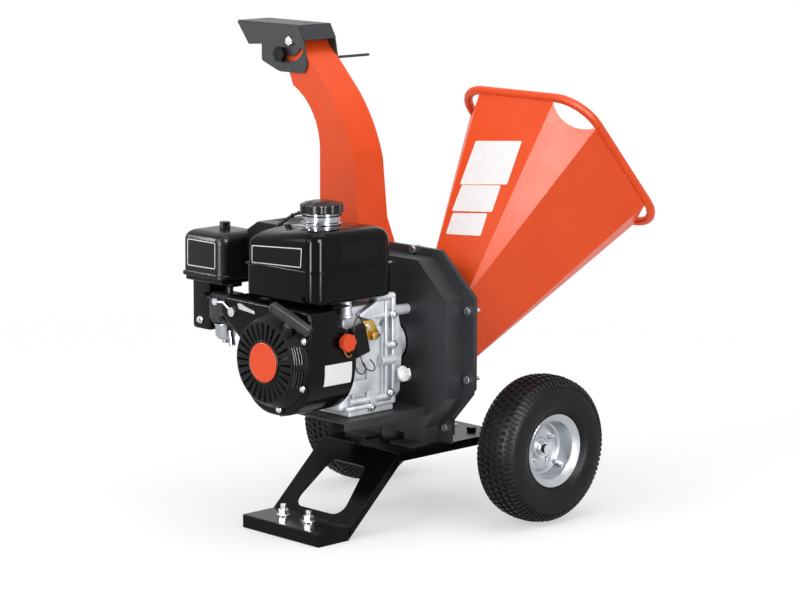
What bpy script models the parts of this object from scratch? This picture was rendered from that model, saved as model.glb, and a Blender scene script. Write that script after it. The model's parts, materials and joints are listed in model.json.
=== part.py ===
"""Compact petrol wood chipper.

Metres, +Z up. The origin is the centre of the foot's underside, on the ground under the crankshaft line.
+X is the side of the oil filler, -Y the starter end and +Y the feed hopper end.
"""

import math

import bmesh
import bpy
from mathutils import Matrix, Vector

# Clearance between pieces that touch
GAP = 0.0003

# Wheels and axle
WHEEL_RADIUS = 0.1285
WHEEL_TRACK = 0.4358
TYRE_WIDTH = 0.085
TREAD_DEPTH = 0.004
TREAD_STEPS = 44
RIM_FLANGE_RADIUS = 0.064
BEAD_RADIUS = 0.051
RIM_WIDTH = 0.070
HUB_REACH = 0.004
AXLE_NUT_HEIGHT = 0.008
STUB_RADIUS = 0.008
AXLE_RADIUS = 0.010
AXLE_Y = 0.3714
AXLE_BAR_WIDTH = 0.040
AXLE_BAR_THICKNESS = 0.008

# Base plate, leg and foot
BASE_WIDTH = 0.192
BASE_ABOVE_AXLE = 0.0035
BASE_FRONT_Y = 0.152
BASE_OVERHANG = 0.038
BASE_SHEET = 0.004
BASE_FLANGE = 0.015
FOOT_DEPTH = 0.071
FOOT_HEIGHT = 0.0233
FOOT_WALL = 0.004
FOOT_BOLTS_X = (-0.042, 0.022)
FOOT_BOLT_Y = 0.010
WINDOW_TOP = 0.040
WINDOW_BOTTOM = 0.143
WINDOW_TOP_HALF = 0.043
WINDOW_BOTTOM_HALF = 0.062

# Rotor housing: two octagonal pans bolted together at a flange
SHAFT_Z = 0.306
HOUSING_Y = 0.227
FRONT_PAN_DEPTH = 0.045
HOUSING_DEPTH = 0.070
HOUSING_HALF_WIDTH = 0.132
HOUSING_RISE = 0.147
HOUSING_DROP = 0.159
HOUSING_SIDE_RISE = 0.083
HOUSING_SIDE_DROP = 0.0865
HOUSING_TOP_HALF = 0.061
HOUSING_BOTTOM_HALF = 0.066
HOUSING_SHEET = 0.004
FLANGE_SIDE_REACH = 0.025
FLANGE_UPPER_REACH = 0.020
FLANGE_TOP_REACH = 0.014
FLANGE_LOWER_REACH = 0.008
FLANGE_TAB_RISE = 0.026
FLANGE_BOLT_HEAD = 0.0075
HOUSING_LEG_INNER = 0.030
HOUSING_LEG_OUTER = 0.079
HOUSING_FOOT_REACH = 0.034

# Rotor
ROTOR_RADIUS = 0.116
ROTOR_DISC = 0.012
ROTOR_HUB_RADIUS = 0.028
PADDLE_DEPTH = 0.024
PADDLE_COUNT = 3
KNIFE_THICKNESS = 0.007
KNIFE_WIDTH = 0.040
KNIFE_INNER = 0.040
KNIFE_RUNNING_GAP = 0.002

# Hopper: a loft from the feed opening to an eight-sided mouth
THROAT_X = 0.054
THROAT_Z = 0.321
THROAT_HALF_WIDTH = 0.0485
THROAT_HALF_HEIGHT = 0.060
MOUTH_Y = 0.582
MOUTH_Z = 0.5955
MOUTH_TILT = math.radians(47.8)
MOUTH_HALF_WIDTH = 0.1516
MOUTH_HALF_HEIGHT = 0.1598
MOUTH_CHAMFER = 0.0616
HOPPER_SHEET = 0.0025
HOPPER_PLATE = 0.004
HOPPER_PLATE_MARGIN = 0.013
RIM_TUBE_RADIUS = 0.008
RIM_TUBE_SIDES = 10
HAND_HOLE_DEPTH = 0.020

# Discharge duct and its hood
DUCT_SHEET = 0.0025
DUCT_SEAT = 0.0005
DUCT_BASE_HALF = 0.045
DUCT_LEFT_X = -0.1848
DUCT_RIGHT_X = -0.086
DUCT_STRAIGHT_Z = 0.505
DUCT_LEFT_BEND_Z = 0.620
DUCT_LEFT_BEND_RADIUS = 0.120
DUCT_LEFT_BEND = math.radians(65)
DUCT_RIGHT_BEND_Z = 0.528
DUCT_RIGHT_BEND_RADIUS = 0.297
DUCT_RIGHT_BEND = math.radians(41)
HOOD_SHEET = 0.003
HOOD_SIDE_GAP = 0.0007
HOOD_PIVOT = (-0.2565, 0.8075)
HOOD_SWING = math.radians(25)
# Share of the left bend, and the right wall's place from the hood's pivot
DUCT_END = (
    (0.80, (0.0455, -0.0310)),
    (0.88, (0.0215, -0.0110)),
    (0.94, (0.0090, 0.0115)),
    (1.00, (-0.0385, 0.0125)),
)
CLAMP_RADIUS = 0.0317
CLAMP_ANGLE = math.radians(-129.5)
SLOT_END_ANGLE = math.radians(-29)
CLAMP_STUD_RADIUS = 0.004
HOOD_ROD_LENGTH = 0.077
HOOD_ROD_RADIUS = 0.0025
HOOD_ROD_PLACE = (0.0385, -0.0305)

# Engine
CRANK_HEIGHT = 0.106
ENGINE_PLATE_HALF = 0.083
ENGINE_PLATE_FRONT_Y = 0.039
ENGINE_PLATE_SHEET = 0.004
CRANK_RADIUS = 0.0125
CRANKCASE_FRONT_Y = 0.0523
CRANKCASE_REAR_Y = 0.172
CRANKCASE_RIGHT = 0.060
SIDE_COVER_THICKNESS = 0.018
CYLINDER_LEAN = math.radians(25)
SHROUD_FRONT_Y = -0.050
SHROUD_RIGHT = 0.092
SHROUD_RADIUS = 0.092
SHROUD_LEFT = -0.079
SHROUD_SHEET = 0.0025
RECOIL_FACE_Y = -0.070
RECOIL_RADIUS = 0.076
RECOIL_SLOTS = 24
CAP_RADIUS = 0.0335
FLYWHEEL_RADIUS = 0.072
FAN_BLADES = 12
TANK_ABOVE_SHROUD = 0.007
TANK_HEIGHT = 0.123
TANK_LOW = (-0.085, -0.037, SHAFT_Z + SHROUD_RADIUS + TANK_ABOVE_SHROUD)
TANK_HIGH = (0.090, 0.148, TANK_LOW[2] + TANK_HEIGHT)
TANK_SEAM_Z = TANK_LOW[2] + 0.056
TANK_CROWN = 0.029
TANK_ROUNDING = 0.016
TANK_WALL = 0.002
NECK_X = 0.007
NECK_Y = 0.055
NECK_RADIUS = 0.031
NECK_HEIGHT = 0.018
FUEL_CAP_RADIUS = 0.037
FUEL_CAP_HEIGHT = 0.021
AIR_BOX_LOW = (-0.293, 0.000, SHAFT_Z + 0.106)
AIR_BOX_HIGH = (-0.187, 0.100, SHAFT_Z + 0.186)
AIR_BOX_WALL = 0.003
CARB_CENTRE = (-0.212, 0.040, SHAFT_Z + 0.052)
CARB_HALF_LENGTH = 0.034
BOWL_OFFSET = 0.0125
BOWL_DEPTH = 0.028
EXHAUST_PLACE = (-0.128, 0.147)
MUFFLER_LOW = (-0.176, 0.057, SHAFT_Z + 0.124)
MUFFLER_HIGH = (-0.103, 0.162, SHAFT_Z + 0.196)
GUARD_SHEET = 0.0015
GUARD_GAP = 0.005
GUARD_CHAMFER = (0.025, 0.015)
GUARD_BOSS_RADIUS = 0.005

SWITCH_PLACE = (0.026, SHAFT_Z + 0.035)
THROTTLE_PLACE = (-0.100, SHAFT_Z + 0.070)
ALERT_PLACE = (0.078, SHAFT_Z + 0.028)

BASE_TOP = WHEEL_RADIUS + BASE_ABOVE_AXLE
HOUSING_REAR_Y = HOUSING_Y + HOUSING_DEPTH
FLANGE_PLANE_Y = HOUSING_Y + FRONT_PAN_DEPTH
ENGINE_PLATE_TOP = SHAFT_Z - CRANK_HEIGHT


def collection(name):
    made = bpy.data.collections.new(name)
    bpy.context.scene.collection.children.link(made)
    return made


def finish(name, colour, roughness, metallic):
    made = bpy.data.materials.new(name)
    made.use_nodes = True
    shader = made.node_tree.nodes["Principled BSDF"]
    shader.inputs["Base Color"].default_value = (*colour, 1)
    shader.inputs["Roughness"].default_value = roughness
    shader.inputs["Metallic"].default_value = metallic
    made.diffuse_color = (*colour, 1)
    return made


for old in list(bpy.data.objects):
    bpy.data.objects.remove(old, do_unlink=True)
PARTS = collection("wood_chipper")
SHAPES = collection("cutters_and_pieces")

ORANGE = finish("orange_powder_coat", (0.86, 0.10, 0.02), 0.45, 0)
GREY_COAT = finish("dark_grey_powder_coat", (0.045, 0.045, 0.05), 0.5, 0)
GLOSS_BLACK = finish("gloss_black_enamel", (0.01, 0.01, 0.01), 0.15, 0)
BLACK_PLASTIC = finish("black_plastic", (0.015, 0.015, 0.016), 0.45, 0)
RED_PLASTIC = finish("red_plastic", (0.85, 0.07, 0.02), 0.4, 0)
WHITE_PLASTIC = finish("white_plastic", (0.8, 0.8, 0.8), 0.4, 0)
RUBBER = finish("tyre_rubber", (0.012, 0.012, 0.012), 0.8, 0)
ZINC = finish("zinc_plate", (0.6, 0.6, 0.62), 0.35, 1)
CAST_ALUMINIUM = finish("cast_aluminium", (0.6, 0.6, 0.6), 0.45, 1)
STEEL = finish("ground_steel", (0.5, 0.5, 0.5), 0.3, 1)
CHROME = finish("chrome", (0.8, 0.8, 0.8), 0.1, 1)


# Shapes. Each makes an object in the helper collection, which part() can then take, join or cut.


def shape(mesh, matrix=Matrix()):
    made = bpy.data.objects.new("shape", mesh)
    SHAPES.objects.link(made)
    made.hide_render = True
    made.display_type = "WIRE"
    made.matrix_world = matrix
    return made


def from_bmesh(bm, matrix=Matrix()):
    mesh = bpy.data.meshes.new("shape")
    bm.to_mesh(mesh)
    bm.free()
    return shape(mesh, matrix)


def rounding(made, width, segments=2):
    bevel = made.modifiers.new("rounded edges", "BEVEL")
    bevel.width = width
    bevel.segments = segments
    bevel.limit_method = "ANGLE"
    bevel.angle_limit = math.radians(40)
    return made


def box(low, high, rounded_by=0, segments=2):
    low, high = Vector(low), Vector(high)
    bm = bmesh.new()
    bmesh.ops.create_cube(bm, size=1)
    bmesh.ops.scale(bm, vec=high - low, verts=bm.verts)
    made = from_bmesh(bm, Matrix.Translation((low + high) / 2))
    return rounding(made, rounded_by, segments) if rounded_by else made


def along(start, direction):
    """Puts local +Z along direction, with its zero at start."""
    turn = Vector((0, 0, 1)).rotation_difference(Vector(direction)).to_matrix().to_4x4()
    return Matrix.Translation(Vector(start)) @ turn


def rod(start, end, radius, sides=20, end_radius=None):
    start, end = Vector(start), Vector(end)
    bm = bmesh.new()
    bmesh.ops.create_cone(
        bm,
        cap_ends=True,
        segments=sides,
        radius1=radius,
        radius2=radius if end_radius is None else end_radius,
        depth=(end - start).length,
    )
    made = from_bmesh(bm, along((start + end) / 2, end - start))
    made.data.shade_smooth()
    made.data.set_sharp_from_angle(angle=math.radians(35))
    return made


def turned(profile, start, direction, steps=32, ring=False):
    """A profile of (radius, height), down its outer side first, turned about the axis from start."""
    mesh = bpy.data.meshes.new("profile")
    edges = [(i, i + 1) for i in range(len(profile) - 1)]
    if ring:
        edges.append((len(profile) - 1, 0))
    mesh.from_pydata([(radius, 0, height) for radius, height in profile], edges, [])
    made = shape(mesh, along(start, direction))
    screw = made.modifiers.new("turned", "SCREW")
    screw.steps = screw.render_steps = steps
    screw.use_merge_vertices = True
    screw.merge_threshold = 0.00001
    screw.use_smooth_shade = True
    return made


def as_mesh(curve_object):
    """A curve made a mesh with its caps welded, so that it can be joined or cut."""
    bpy.context.view_layer.update()
    graph = bpy.context.evaluated_depsgraph_get()
    mesh = bpy.data.meshes.new_from_object(curve_object.evaluated_get(graph))
    bm = bmesh.new()
    bm.from_mesh(mesh)
    bmesh.ops.remove_doubles(bm, verts=bm.verts, dist=0.00001)
    bmesh.ops.recalc_face_normals(bm, faces=bm.faces)
    bm.to_mesh(mesh)
    bm.free()
    made = shape(mesh, curve_object.matrix_world.copy())
    bpy.data.objects.remove(curve_object)
    return made


def spline(curve, points, cyclic):
    line = curve.splines.new("POLY")
    line.points.add(len(points) - 1)
    for point, place in zip(line.points, points):
        point.co = (*place, 0, 1) if len(place) == 2 else (*place, 1)
    line.use_cyclic_u = cyclic


def slab(outlines, thickness, plane):
    """A flat plate: the first outline is its edge and the others are holes. plane is its middle."""
    curve = bpy.data.curves.new("outline", "CURVE")
    curve.dimensions = "2D"
    curve.fill_mode = "BOTH"
    curve.extrude = thickness / 2
    for outline in outlines:
        spline(curve, outline, True)
    made = bpy.data.objects.new("outline", curve)
    SHAPES.objects.link(made)
    made.matrix_world = plane
    return as_mesh(made)


def pipe(points, radius, sides=8, cyclic=False):
    curve = bpy.data.curves.new("centre line", "CURVE")
    curve.dimensions = "3D"
    curve.bevel_depth = radius
    curve.bevel_resolution = sides // 2 - 2
    curve.use_fill_caps = True
    spline(curve, points, cyclic)
    made = bpy.data.objects.new("centre line", curve)
    SHAPES.objects.link(made)
    made = as_mesh(made)
    made.data.shade_smooth()
    return made


def facing_front(y):
    """Local x and y become X and Z, on the plane at y."""
    return Matrix(((1, 0, 0, 0), (0, 0, -1, y), (0, 1, 0, 0), (0, 0, 0, 1)))


def facing_right(x):
    """Local x and y become Y and Z, on the plane at x."""
    return Matrix(((0, 0, 1, x), (1, 0, 0, 0), (0, 1, 0, 0), (0, 0, 0, 1)))


def facing_up(z):
    return Matrix.Translation((0, 0, z))


def circle(radius, centre=(0, 0), count=24):
    return [
        (
            centre[0] + radius * math.cos(2 * math.pi * i / count),
            centre[1] + radius * math.sin(2 * math.pi * i / count),
        )
        for i in range(count)
    ]


def lobed(radius, depth, lobes, centre=(0, 0), per_lobe=4):
    """The outline of a hand knob: a circle whose radius dips between its lobes."""
    count = lobes * per_lobe
    points = []
    for i in range(count):
        angle = 2 * math.pi * i / count
        at = radius - depth * (0.5 - 0.5 * math.cos(lobes * angle))
        points.append((centre[0] + at * math.cos(angle), centre[1] + at * math.sin(angle)))
    return points


def rounded(corners, radii, steps=3):
    """A polygon whose corners are arcs. radii is one radius, or one for each corner."""
    if not isinstance(radii, (list, tuple)):
        radii = [radii] * len(corners)
    points = []
    for i, radius in enumerate(radii):
        corner = Vector(corners[i])
        before = (Vector(corners[i - 1]) - corner).normalized()
        after = (Vector(corners[(i + 1) % len(corners)]) - corner).normalized()
        if radius <= 0:
            points.append(tuple(corner))
            continue
        half = math.acos(max(-1, min(1, before.dot(after)))) / 2
        centre = corner + (before + after).normalized() * radius / math.sin(half)
        first = corner + before * radius / math.tan(half) - centre
        last = corner + after * radius / math.tan(half) - centre
        turn = math.atan2(first.x * last.y - first.y * last.x, first.dot(last))
        for k in range(steps + 1):
            angle = turn * k / steps
            points.append(
                (
                    centre.x + first.x * math.cos(angle) - first.y * math.sin(angle),
                    centre.y + first.x * math.sin(angle) + first.y * math.cos(angle),
                )
            )
    return points


def grown(outline, reach):
    """A convex outline, counter-clockwise, with its sides moved out by reach: one value, or one a side."""
    if not isinstance(reach, (list, tuple)):
        reach = [reach] * len(outline)
    points = []
    for i, corner in enumerate(outline):
        here, last = Vector(corner), Vector(outline[i - 1])
        after = Vector(outline[(i + 1) % len(outline)])
        one, two = (here - last).normalized(), (after - here).normalized()
        out_one, out_two = Vector((one.y, -one.x)), Vector((two.y, -two.x))
        bend = one.x * two.y - one.y * two.x
        along_two = (reach[i] * out_one.dot(out_two) - reach[i - 1]) / bend
        points.append(tuple(here + out_two * reach[i] + two * along_two))
    return points


def sheet(made, thickness):
    """Gives an open surface its thickness on the side away from its normals."""
    solid = made.modifiers.new("sheet", "SOLIDIFY")
    solid.thickness = thickness
    solid.offset = -1
    solid.use_even_offset = True
    return made


def surface(rows, closed_rows):
    """An open surface through rows of points, each row joined to the next."""
    bm = bmesh.new()
    grid = [[bm.verts.new(point) for point in row] for row in rows]
    count = len(rows[0])
    last = count if closed_rows else count - 1
    for row, after in zip(grid, grid[1:]):
        for i in range(last):
            j = (i + 1) % count
            bm.faces.new((row[i], row[j], after[j], after[i]))
    return from_bmesh(bm)


def folded(profile, start, run, across, thickness):
    """A folded plate: an open profile of (across, up) carried from start along run."""
    run, across = Vector(run), Vector(across).normalized()
    up = run.normalized().cross(across) * -1
    rows = [
        [Vector(start) + across * x + up * z + run * k for x, z in profile] for k in (0, 1)
    ]
    return sheet(surface(rows, False), thickness)


def combine(made, others, operation):
    for other in others:
        boolean = made.modifiers.new(operation.lower(), "BOOLEAN")
        boolean.operation = operation
        boolean.object = other
    return made


def part(name, body, coat, joined=(), cuts=(), pivot=None):
    """Takes a shape as one named sub-part. pivot is a point on the joint axis of a moving one."""
    combine(body, joined, "UNION")
    combine(body, cuts, "DIFFERENCE")
    body.name = body.data.name = name
    SHAPES.objects.unlink(body)
    PARTS.objects.link(body)
    body.hide_render = False
    body.display_type = "TEXTURED"
    body.data.materials.append(coat)
    if pivot is not None:
        axis_point = bpy.data.objects.new(name + "_axis", None)
        axis_point.location = pivot
        PARTS.objects.link(axis_point)
        axis_point.empty_display_size = 0.01
        body.parent = axis_point
        body.matrix_parent_inverse = Matrix.Translation(-Vector(pivot))
    return body


def bolt(head, end, radius, head_size, nut=None):
    """A hexagon bolt whose head's underside is at head. nut is the distance of a nut's inner face."""
    head, end = Vector(head), Vector(end)
    away = (head - end).normalized()
    made = rod(head + away * head_size * 0.7, head, head_size, 6)
    pieces = [rod(head + away * head_size * 0.3, end, radius, 10)]
    if nut is not None:
        inner = head - away * nut
        pieces.append(rod(inner, inner - away * head_size * 0.8, head_size, 6))
    return combine(made, pieces, "UNION")


# Outlines that several pieces share


def housing_outline():
    """The octagon of the rotor housing, counter-clockwise seen from the front."""
    half_width = HOUSING_HALF_WIDTH
    return [
        (-HOUSING_BOTTOM_HALF, SHAFT_Z - HOUSING_DROP),
        (HOUSING_BOTTOM_HALF, SHAFT_Z - HOUSING_DROP),
        (half_width, SHAFT_Z - HOUSING_SIDE_DROP),
        (half_width, SHAFT_Z + HOUSING_SIDE_RISE),
        (HOUSING_TOP_HALF, SHAFT_Z + HOUSING_RISE),
        (-HOUSING_TOP_HALF, SHAFT_Z + HOUSING_RISE),
        (-half_width, SHAFT_Z + HOUSING_SIDE_RISE),
        (-half_width, SHAFT_Z - HOUSING_SIDE_DROP),
    ]


def flange_outline():
    """The octagon with each side moved out by its own reach, since the flange is widest at the sides."""
    lower, side, upper = FLANGE_LOWER_REACH, FLANGE_SIDE_REACH, FLANGE_UPPER_REACH
    return grown(housing_outline(), [0, lower, side, upper, FLANGE_TOP_REACH, upper, side, lower])


def lower_chamfer_z(x):
    """Height of the housing's lower right side at x."""
    share = (x - HOUSING_BOTTOM_HALF) / (HOUSING_HALF_WIDTH - HOUSING_BOTTOM_HALF)
    return SHAFT_Z - HOUSING_DROP + share * (HOUSING_DROP - HOUSING_SIDE_DROP)


def slope_frame():
    """Middle, direction up the slope and outward normal of the housing's upper left side."""
    top = Vector((-HOUSING_TOP_HALF, SHAFT_Z + HOUSING_RISE))
    bottom = Vector((-HOUSING_HALF_WIDTH, SHAFT_Z + HOUSING_SIDE_RISE))
    direction = (top - bottom).normalized()
    return (top + bottom) / 2, direction, Vector((-direction.y, direction.x))


def slope_box(half_length, inner, outer, y_low, y_high):
    """A block on the upper left side of the housing, from inner to outer along its normal."""
    middle, direction, normal = slope_frame()
    corners = [
        middle + direction * s * half_length + normal * n
        for s, n in ((-1, inner), (1, inner), (1, outer), (-1, outer))
    ]
    return slab([[tuple(c) for c in corners]], y_high - y_low, facing_front((y_low + y_high) / 2))


def mouth_frame():
    """Centre, direction up the mouth and outward normal of the hopper's mouth."""
    up = Vector((0, -math.cos(MOUTH_TILT), math.sin(MOUTH_TILT)))
    out = Vector((0, math.sin(MOUTH_TILT), math.cos(MOUTH_TILT)))
    return Vector((THROAT_X, MOUTH_Y, MOUTH_Z)), up, out


# Running gear


def make_tyre(name, side):
    """The carcass is spun, then every other step of its shoulders and crown is lowered into a groove."""
    half = TYRE_WIDTH / 2
    rim_half = RIM_WIDTH / 2
    section = [
        (BEAD_RADIUS + GAP, rim_half - 0.0065),
        (RIM_FLANGE_RADIUS + 0.001, rim_half - 0.0022),
        (RIM_FLANGE_RADIUS + 0.004, rim_half + 0.003),
        (RIM_FLANGE_RADIUS + 0.022, half),
        (WHEEL_RADIUS - 0.0165, half - 0.0015),
        (WHEEL_RADIUS - 0.0075, half - 0.0065),
        (WHEEL_RADIUS - 0.0025, half - 0.0165),
        (WHEEL_RADIUS, half - 0.0325),
    ]
    section += [(radius, -across) for radius, across in reversed(section)]
    bm = bmesh.new()
    ring = [bm.verts.new((across, 0, -radius)) for radius, across in section]
    for i, vert in enumerate(ring):
        bm.edges.new((vert, ring[(i + 1) % len(ring)]))
    bmesh.ops.spin(
        bm,
        geom=list(bm.verts) + list(bm.edges),
        axis=(1, 0, 0),
        cent=(0, 0, 0),
        steps=TREAD_STEPS,
        angle=2 * math.pi,
        use_merge=True,
        use_duplicate=False,
    )
    bmesh.ops.remove_doubles(bm, verts=bm.verts, dist=0.00001)
    for vert in bm.verts:
        radius = math.hypot(vert.co.y, vert.co.z)
        step = round(math.atan2(vert.co.y, -vert.co.z) * TREAD_STEPS / (2 * math.pi))
        on_crown = radius > WHEEL_RADIUS - 0.001
        on_shoulder = WHEEL_RADIUS - 0.017 < radius <= WHEEL_RADIUS - 0.001
        left_groove = on_shoulder and vert.co.x < 0 and step % 2 == 0
        right_groove = on_shoulder and vert.co.x > 0 and step % 2 == 1
        crown_groove = on_crown and step % 2 == 1
        if left_groove or right_groove or crown_groove:
            lower = (radius - TREAD_DEPTH) / radius
            vert.co.y *= lower
            vert.co.z *= lower
    bmesh.ops.recalc_face_normals(bm, faces=bm.faces)
    centre = (side * WHEEL_TRACK / 2, AXLE_Y, WHEEL_RADIUS)
    part(name, from_bmesh(bm, Matrix.Translation(centre)), RUBBER, pivot=centre)


def make_rim(name, side):
    """A two-piece dished rim with its hub tube. The dish opens outwards."""
    flange, half, hub = RIM_FLANGE_RADIUS, RIM_WIDTH / 2, 0.018
    sheet_in = BEAD_RADIUS - 0.0035
    profile = [
        (flange, half),
        (BEAD_RADIUS + 0.001, half - 0.0035),
        (BEAD_RADIUS, half - 0.007),
        (BEAD_RADIUS, 0.007 - half),
        (BEAD_RADIUS + 0.001, 0.0035 - half),
        (flange, -half),
        (sheet_in, -half),
        (sheet_in, -0.006),
        (hub, -0.010),
        (hub, -half),
        (STUB_RADIUS + 2 * GAP, -half),
        (STUB_RADIUS + 2 * GAP, HUB_REACH),
        (hub, HUB_REACH),
        (hub, -0.002),
        (0.032, -0.004),
        (sheet_in, 0.006),
        (sheet_in, half),
    ]
    centre = (side * WHEEL_TRACK / 2, AXLE_Y, WHEEL_RADIUS)
    body = turned(profile, centre, (side, 0, 0), 24, ring=True)
    part(name, body, ZINC, pivot=centre)


def make_running_gear():
    base_rear = AXLE_Y + BASE_OVERHANG
    half = BASE_WIDTH / 2
    underside = BASE_TOP - BASE_SHEET
    bar_top = underside - GAP
    bar_low = bar_top - AXLE_BAR_THICKNESS
    bolt_xs = (-0.052, 0.052)

    profile = [(-half, -BASE_FLANGE), (-half, 0), (half, 0), (half, -BASE_FLANGE)]
    base = folded(
        profile, (0, BASE_FRONT_Y, BASE_TOP), (0, base_rear - BASE_FRONT_Y, 0), (1, 0, 0), BASE_SHEET
    )
    bar_half = AXLE_BAR_WIDTH / 2
    notch = box(
        (-half - 0.01, AXLE_Y - bar_half - 2 * GAP, BASE_TOP - BASE_FLANGE - 0.01),
        (half + 0.01, AXLE_Y + bar_half + 2 * GAP, underside),
    )
    holes = [rod((x, AXLE_Y, 0.05), (x, AXLE_Y, 0.2), 0.0056, 12) for x in bolt_xs]
    part("base_plate", base, GLOSS_BLACK, cuts=[notch, *holes])

    # The leg runs from the base's front edge down to the back of the foot
    top = Vector((0, BASE_FRONT_Y, BASE_TOP))
    bottom = Vector((0, FOOT_DEPTH / 2, FOOT_HEIGHT))
    slope = (bottom - top).normalized()
    leg = folded(profile, top - slope * 0.02, bottom - top + slope * 0.04, (-1, 0, 0), BASE_SHEET)
    window = rounded(
        [
            (-WINDOW_BOTTOM_HALF, -WINDOW_BOTTOM),
            (WINDOW_BOTTOM_HALF, -WINDOW_BOTTOM),
            (WINDOW_TOP_HALF, -WINDOW_TOP),
            (-WINDOW_TOP_HALF, -WINDOW_TOP),
        ],
        [0.020, 0.020, 0.012, 0.012],
        4,
    )
    out = Vector((1, 0, 0)).cross(-slope)
    window_plane = Matrix.Translation(top) @ Matrix(
        ((1, 0, out.x), (0, -slope.y, out.y), (0, -slope.z, out.z))
    ).to_4x4()
    trims = [
        slab([window], 0.05, window_plane),
        box((-0.2, BASE_FRONT_Y - GAP, 0), (0.2, BASE_FRONT_Y + 0.1, 0.3)),
        box((-0.2, -0.1, -0.1), (0.2, FOOT_DEPTH / 2 + GAP, 0.2)),
        box((-0.2, -0.1, -0.1), (0.2, 0.2, 0.002)),
    ]
    part("front_leg", leg, GLOSS_BLACK, cuts=trims)

    # The foot is a box section with plugged ends, open only at its stud and drain holes
    depth_half = FOOT_DEPTH / 2
    foot = box((-half, -depth_half, 0), (half, depth_half, FOOT_HEIGHT), 0.0015)
    hollow = box(
        (-half + FOOT_WALL, -depth_half + FOOT_WALL, FOOT_WALL),
        (half - FOOT_WALL, depth_half - FOOT_WALL, FOOT_HEIGHT - FOOT_WALL),
    )
    stud_radius = 0.005
    stud_holes = [
        rod((x, FOOT_BOLT_Y, 0.01), (x, FOOT_BOLT_Y, 0.05), stud_radius + 2 * GAP, 16)
        for x in FOOT_BOLTS_X
    ]
    drain = rod((0.06, 0, -0.01), (0.06, 0, 0.01), 0.004, 12)
    part("foot", foot, GLOSS_BLACK, cuts=[hollow, drain, *stud_holes])
    for name, x in zip(("foot_bolt_left", "foot_bolt_right"), FOOT_BOLTS_X):
        under = FOOT_HEIGHT - FOOT_WALL - GAP
        body = rod((x, FOOT_BOLT_Y, under - 0.005), (x, FOOT_BOLT_Y, under), 0.009, 12)
        shank = rod(
            (x, FOOT_BOLT_Y, under - 0.003), (x, FOOT_BOLT_Y, FOOT_HEIGHT + 0.020), stud_radius, 12
        )
        washer = rod(
            (x, FOOT_BOLT_Y, FOOT_HEIGHT + GAP), (x, FOOT_BOLT_Y, FOOT_HEIGHT + 0.0025), 0.012, 16
        )
        nut = rod((x, FOOT_BOLT_Y, FOOT_HEIGHT + 0.002), (x, FOOT_BOLT_Y, FOOT_HEIGHT + 0.011), 0.0095, 6)
        part(name, body, ZINC, joined=[shank, washer, nut])

    # Axle: a flat bar under the base plate with a stub shaft welded along each end
    bar_end = WHEEL_TRACK / 2 - TYRE_WIDTH / 2 - 0.015
    bar = box((-bar_end, AXLE_Y - bar_half, bar_low), (bar_end, AXLE_Y + bar_half, bar_top))
    stubs = []
    for side in (-1, 1):
        shoulder = side * (WHEEL_TRACK / 2 - RIM_WIDTH / 2 - GAP)
        tip = side * (WHEEL_TRACK / 2 + HUB_REACH + AXLE_NUT_HEIGHT + 0.005)
        root = side * (half + 0.006)
        stubs.append(rod((root, AXLE_Y, WHEEL_RADIUS), (shoulder, AXLE_Y, WHEEL_RADIUS), AXLE_RADIUS, 20))
        stubs.append(
            rod(
                (shoulder - side * 0.01, AXLE_Y, WHEEL_RADIUS),
                (tip, AXLE_Y, WHEEL_RADIUS),
                STUB_RADIUS,
                20,
            ),
        )
    part("axle_beam", bar, GLOSS_BLACK, joined=stubs, cuts=holes)
    for name, x in zip(("axle_bolt_left", "axle_bolt_right"), bolt_xs):
        body = bolt((x, AXLE_Y, BASE_TOP + GAP), (x, AXLE_Y, bar_low - 0.014), 0.005, 0.009,
                    nut=BASE_TOP - bar_low + 2 * GAP)
        part(name, body, GLOSS_BLACK)
    for side, word in ((-1, "left"), (1, "right")):
        make_tyre("tyre_" + word, side)
        make_rim("wheel_rim_" + word, side)
        seat = side * (WHEEL_TRACK / 2 + HUB_REACH + GAP)
        bore = STUB_RADIUS + GAP
        profile = [
            (bore + 0.0045, AXLE_NUT_HEIGHT),
            (bore + 0.0045, 0.0015),
            (bore + 0.0065, 0.0015),
            (bore + 0.0065, 0),
            (bore, 0),
            (bore, AXLE_NUT_HEIGHT),
        ]
        nut = turned(profile, (seat, AXLE_Y, WHEEL_RADIUS), (side, 0, 0), 12, ring=True)
        part("axle_nut_" + word, nut, ZINC)


# Rotor housing


def make_pan(closed_y, open_y):
    """An octagonal pan, closed at closed_y, with a flange round its open end at open_y."""
    way = 1 if open_y > closed_y else -1
    outline = housing_outline()

    def span(shape_outline, y_one, y_two):
        return slab([shape_outline], abs(y_two - y_one), facing_front((y_one + y_two) / 2))

    pan = span(outline, closed_y, open_y - way * HOUSING_SHEET / 4)
    flange = span(flange_outline(), open_y - way * HOUSING_SHEET, open_y)
    inside = span(
        grown(outline, -HOUSING_SHEET), closed_y + way * HOUSING_SHEET, open_y + way * HOUSING_SHEET
    )
    return combine(combine(pan, [flange], "UNION"), [inside], "DIFFERENCE")


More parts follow.
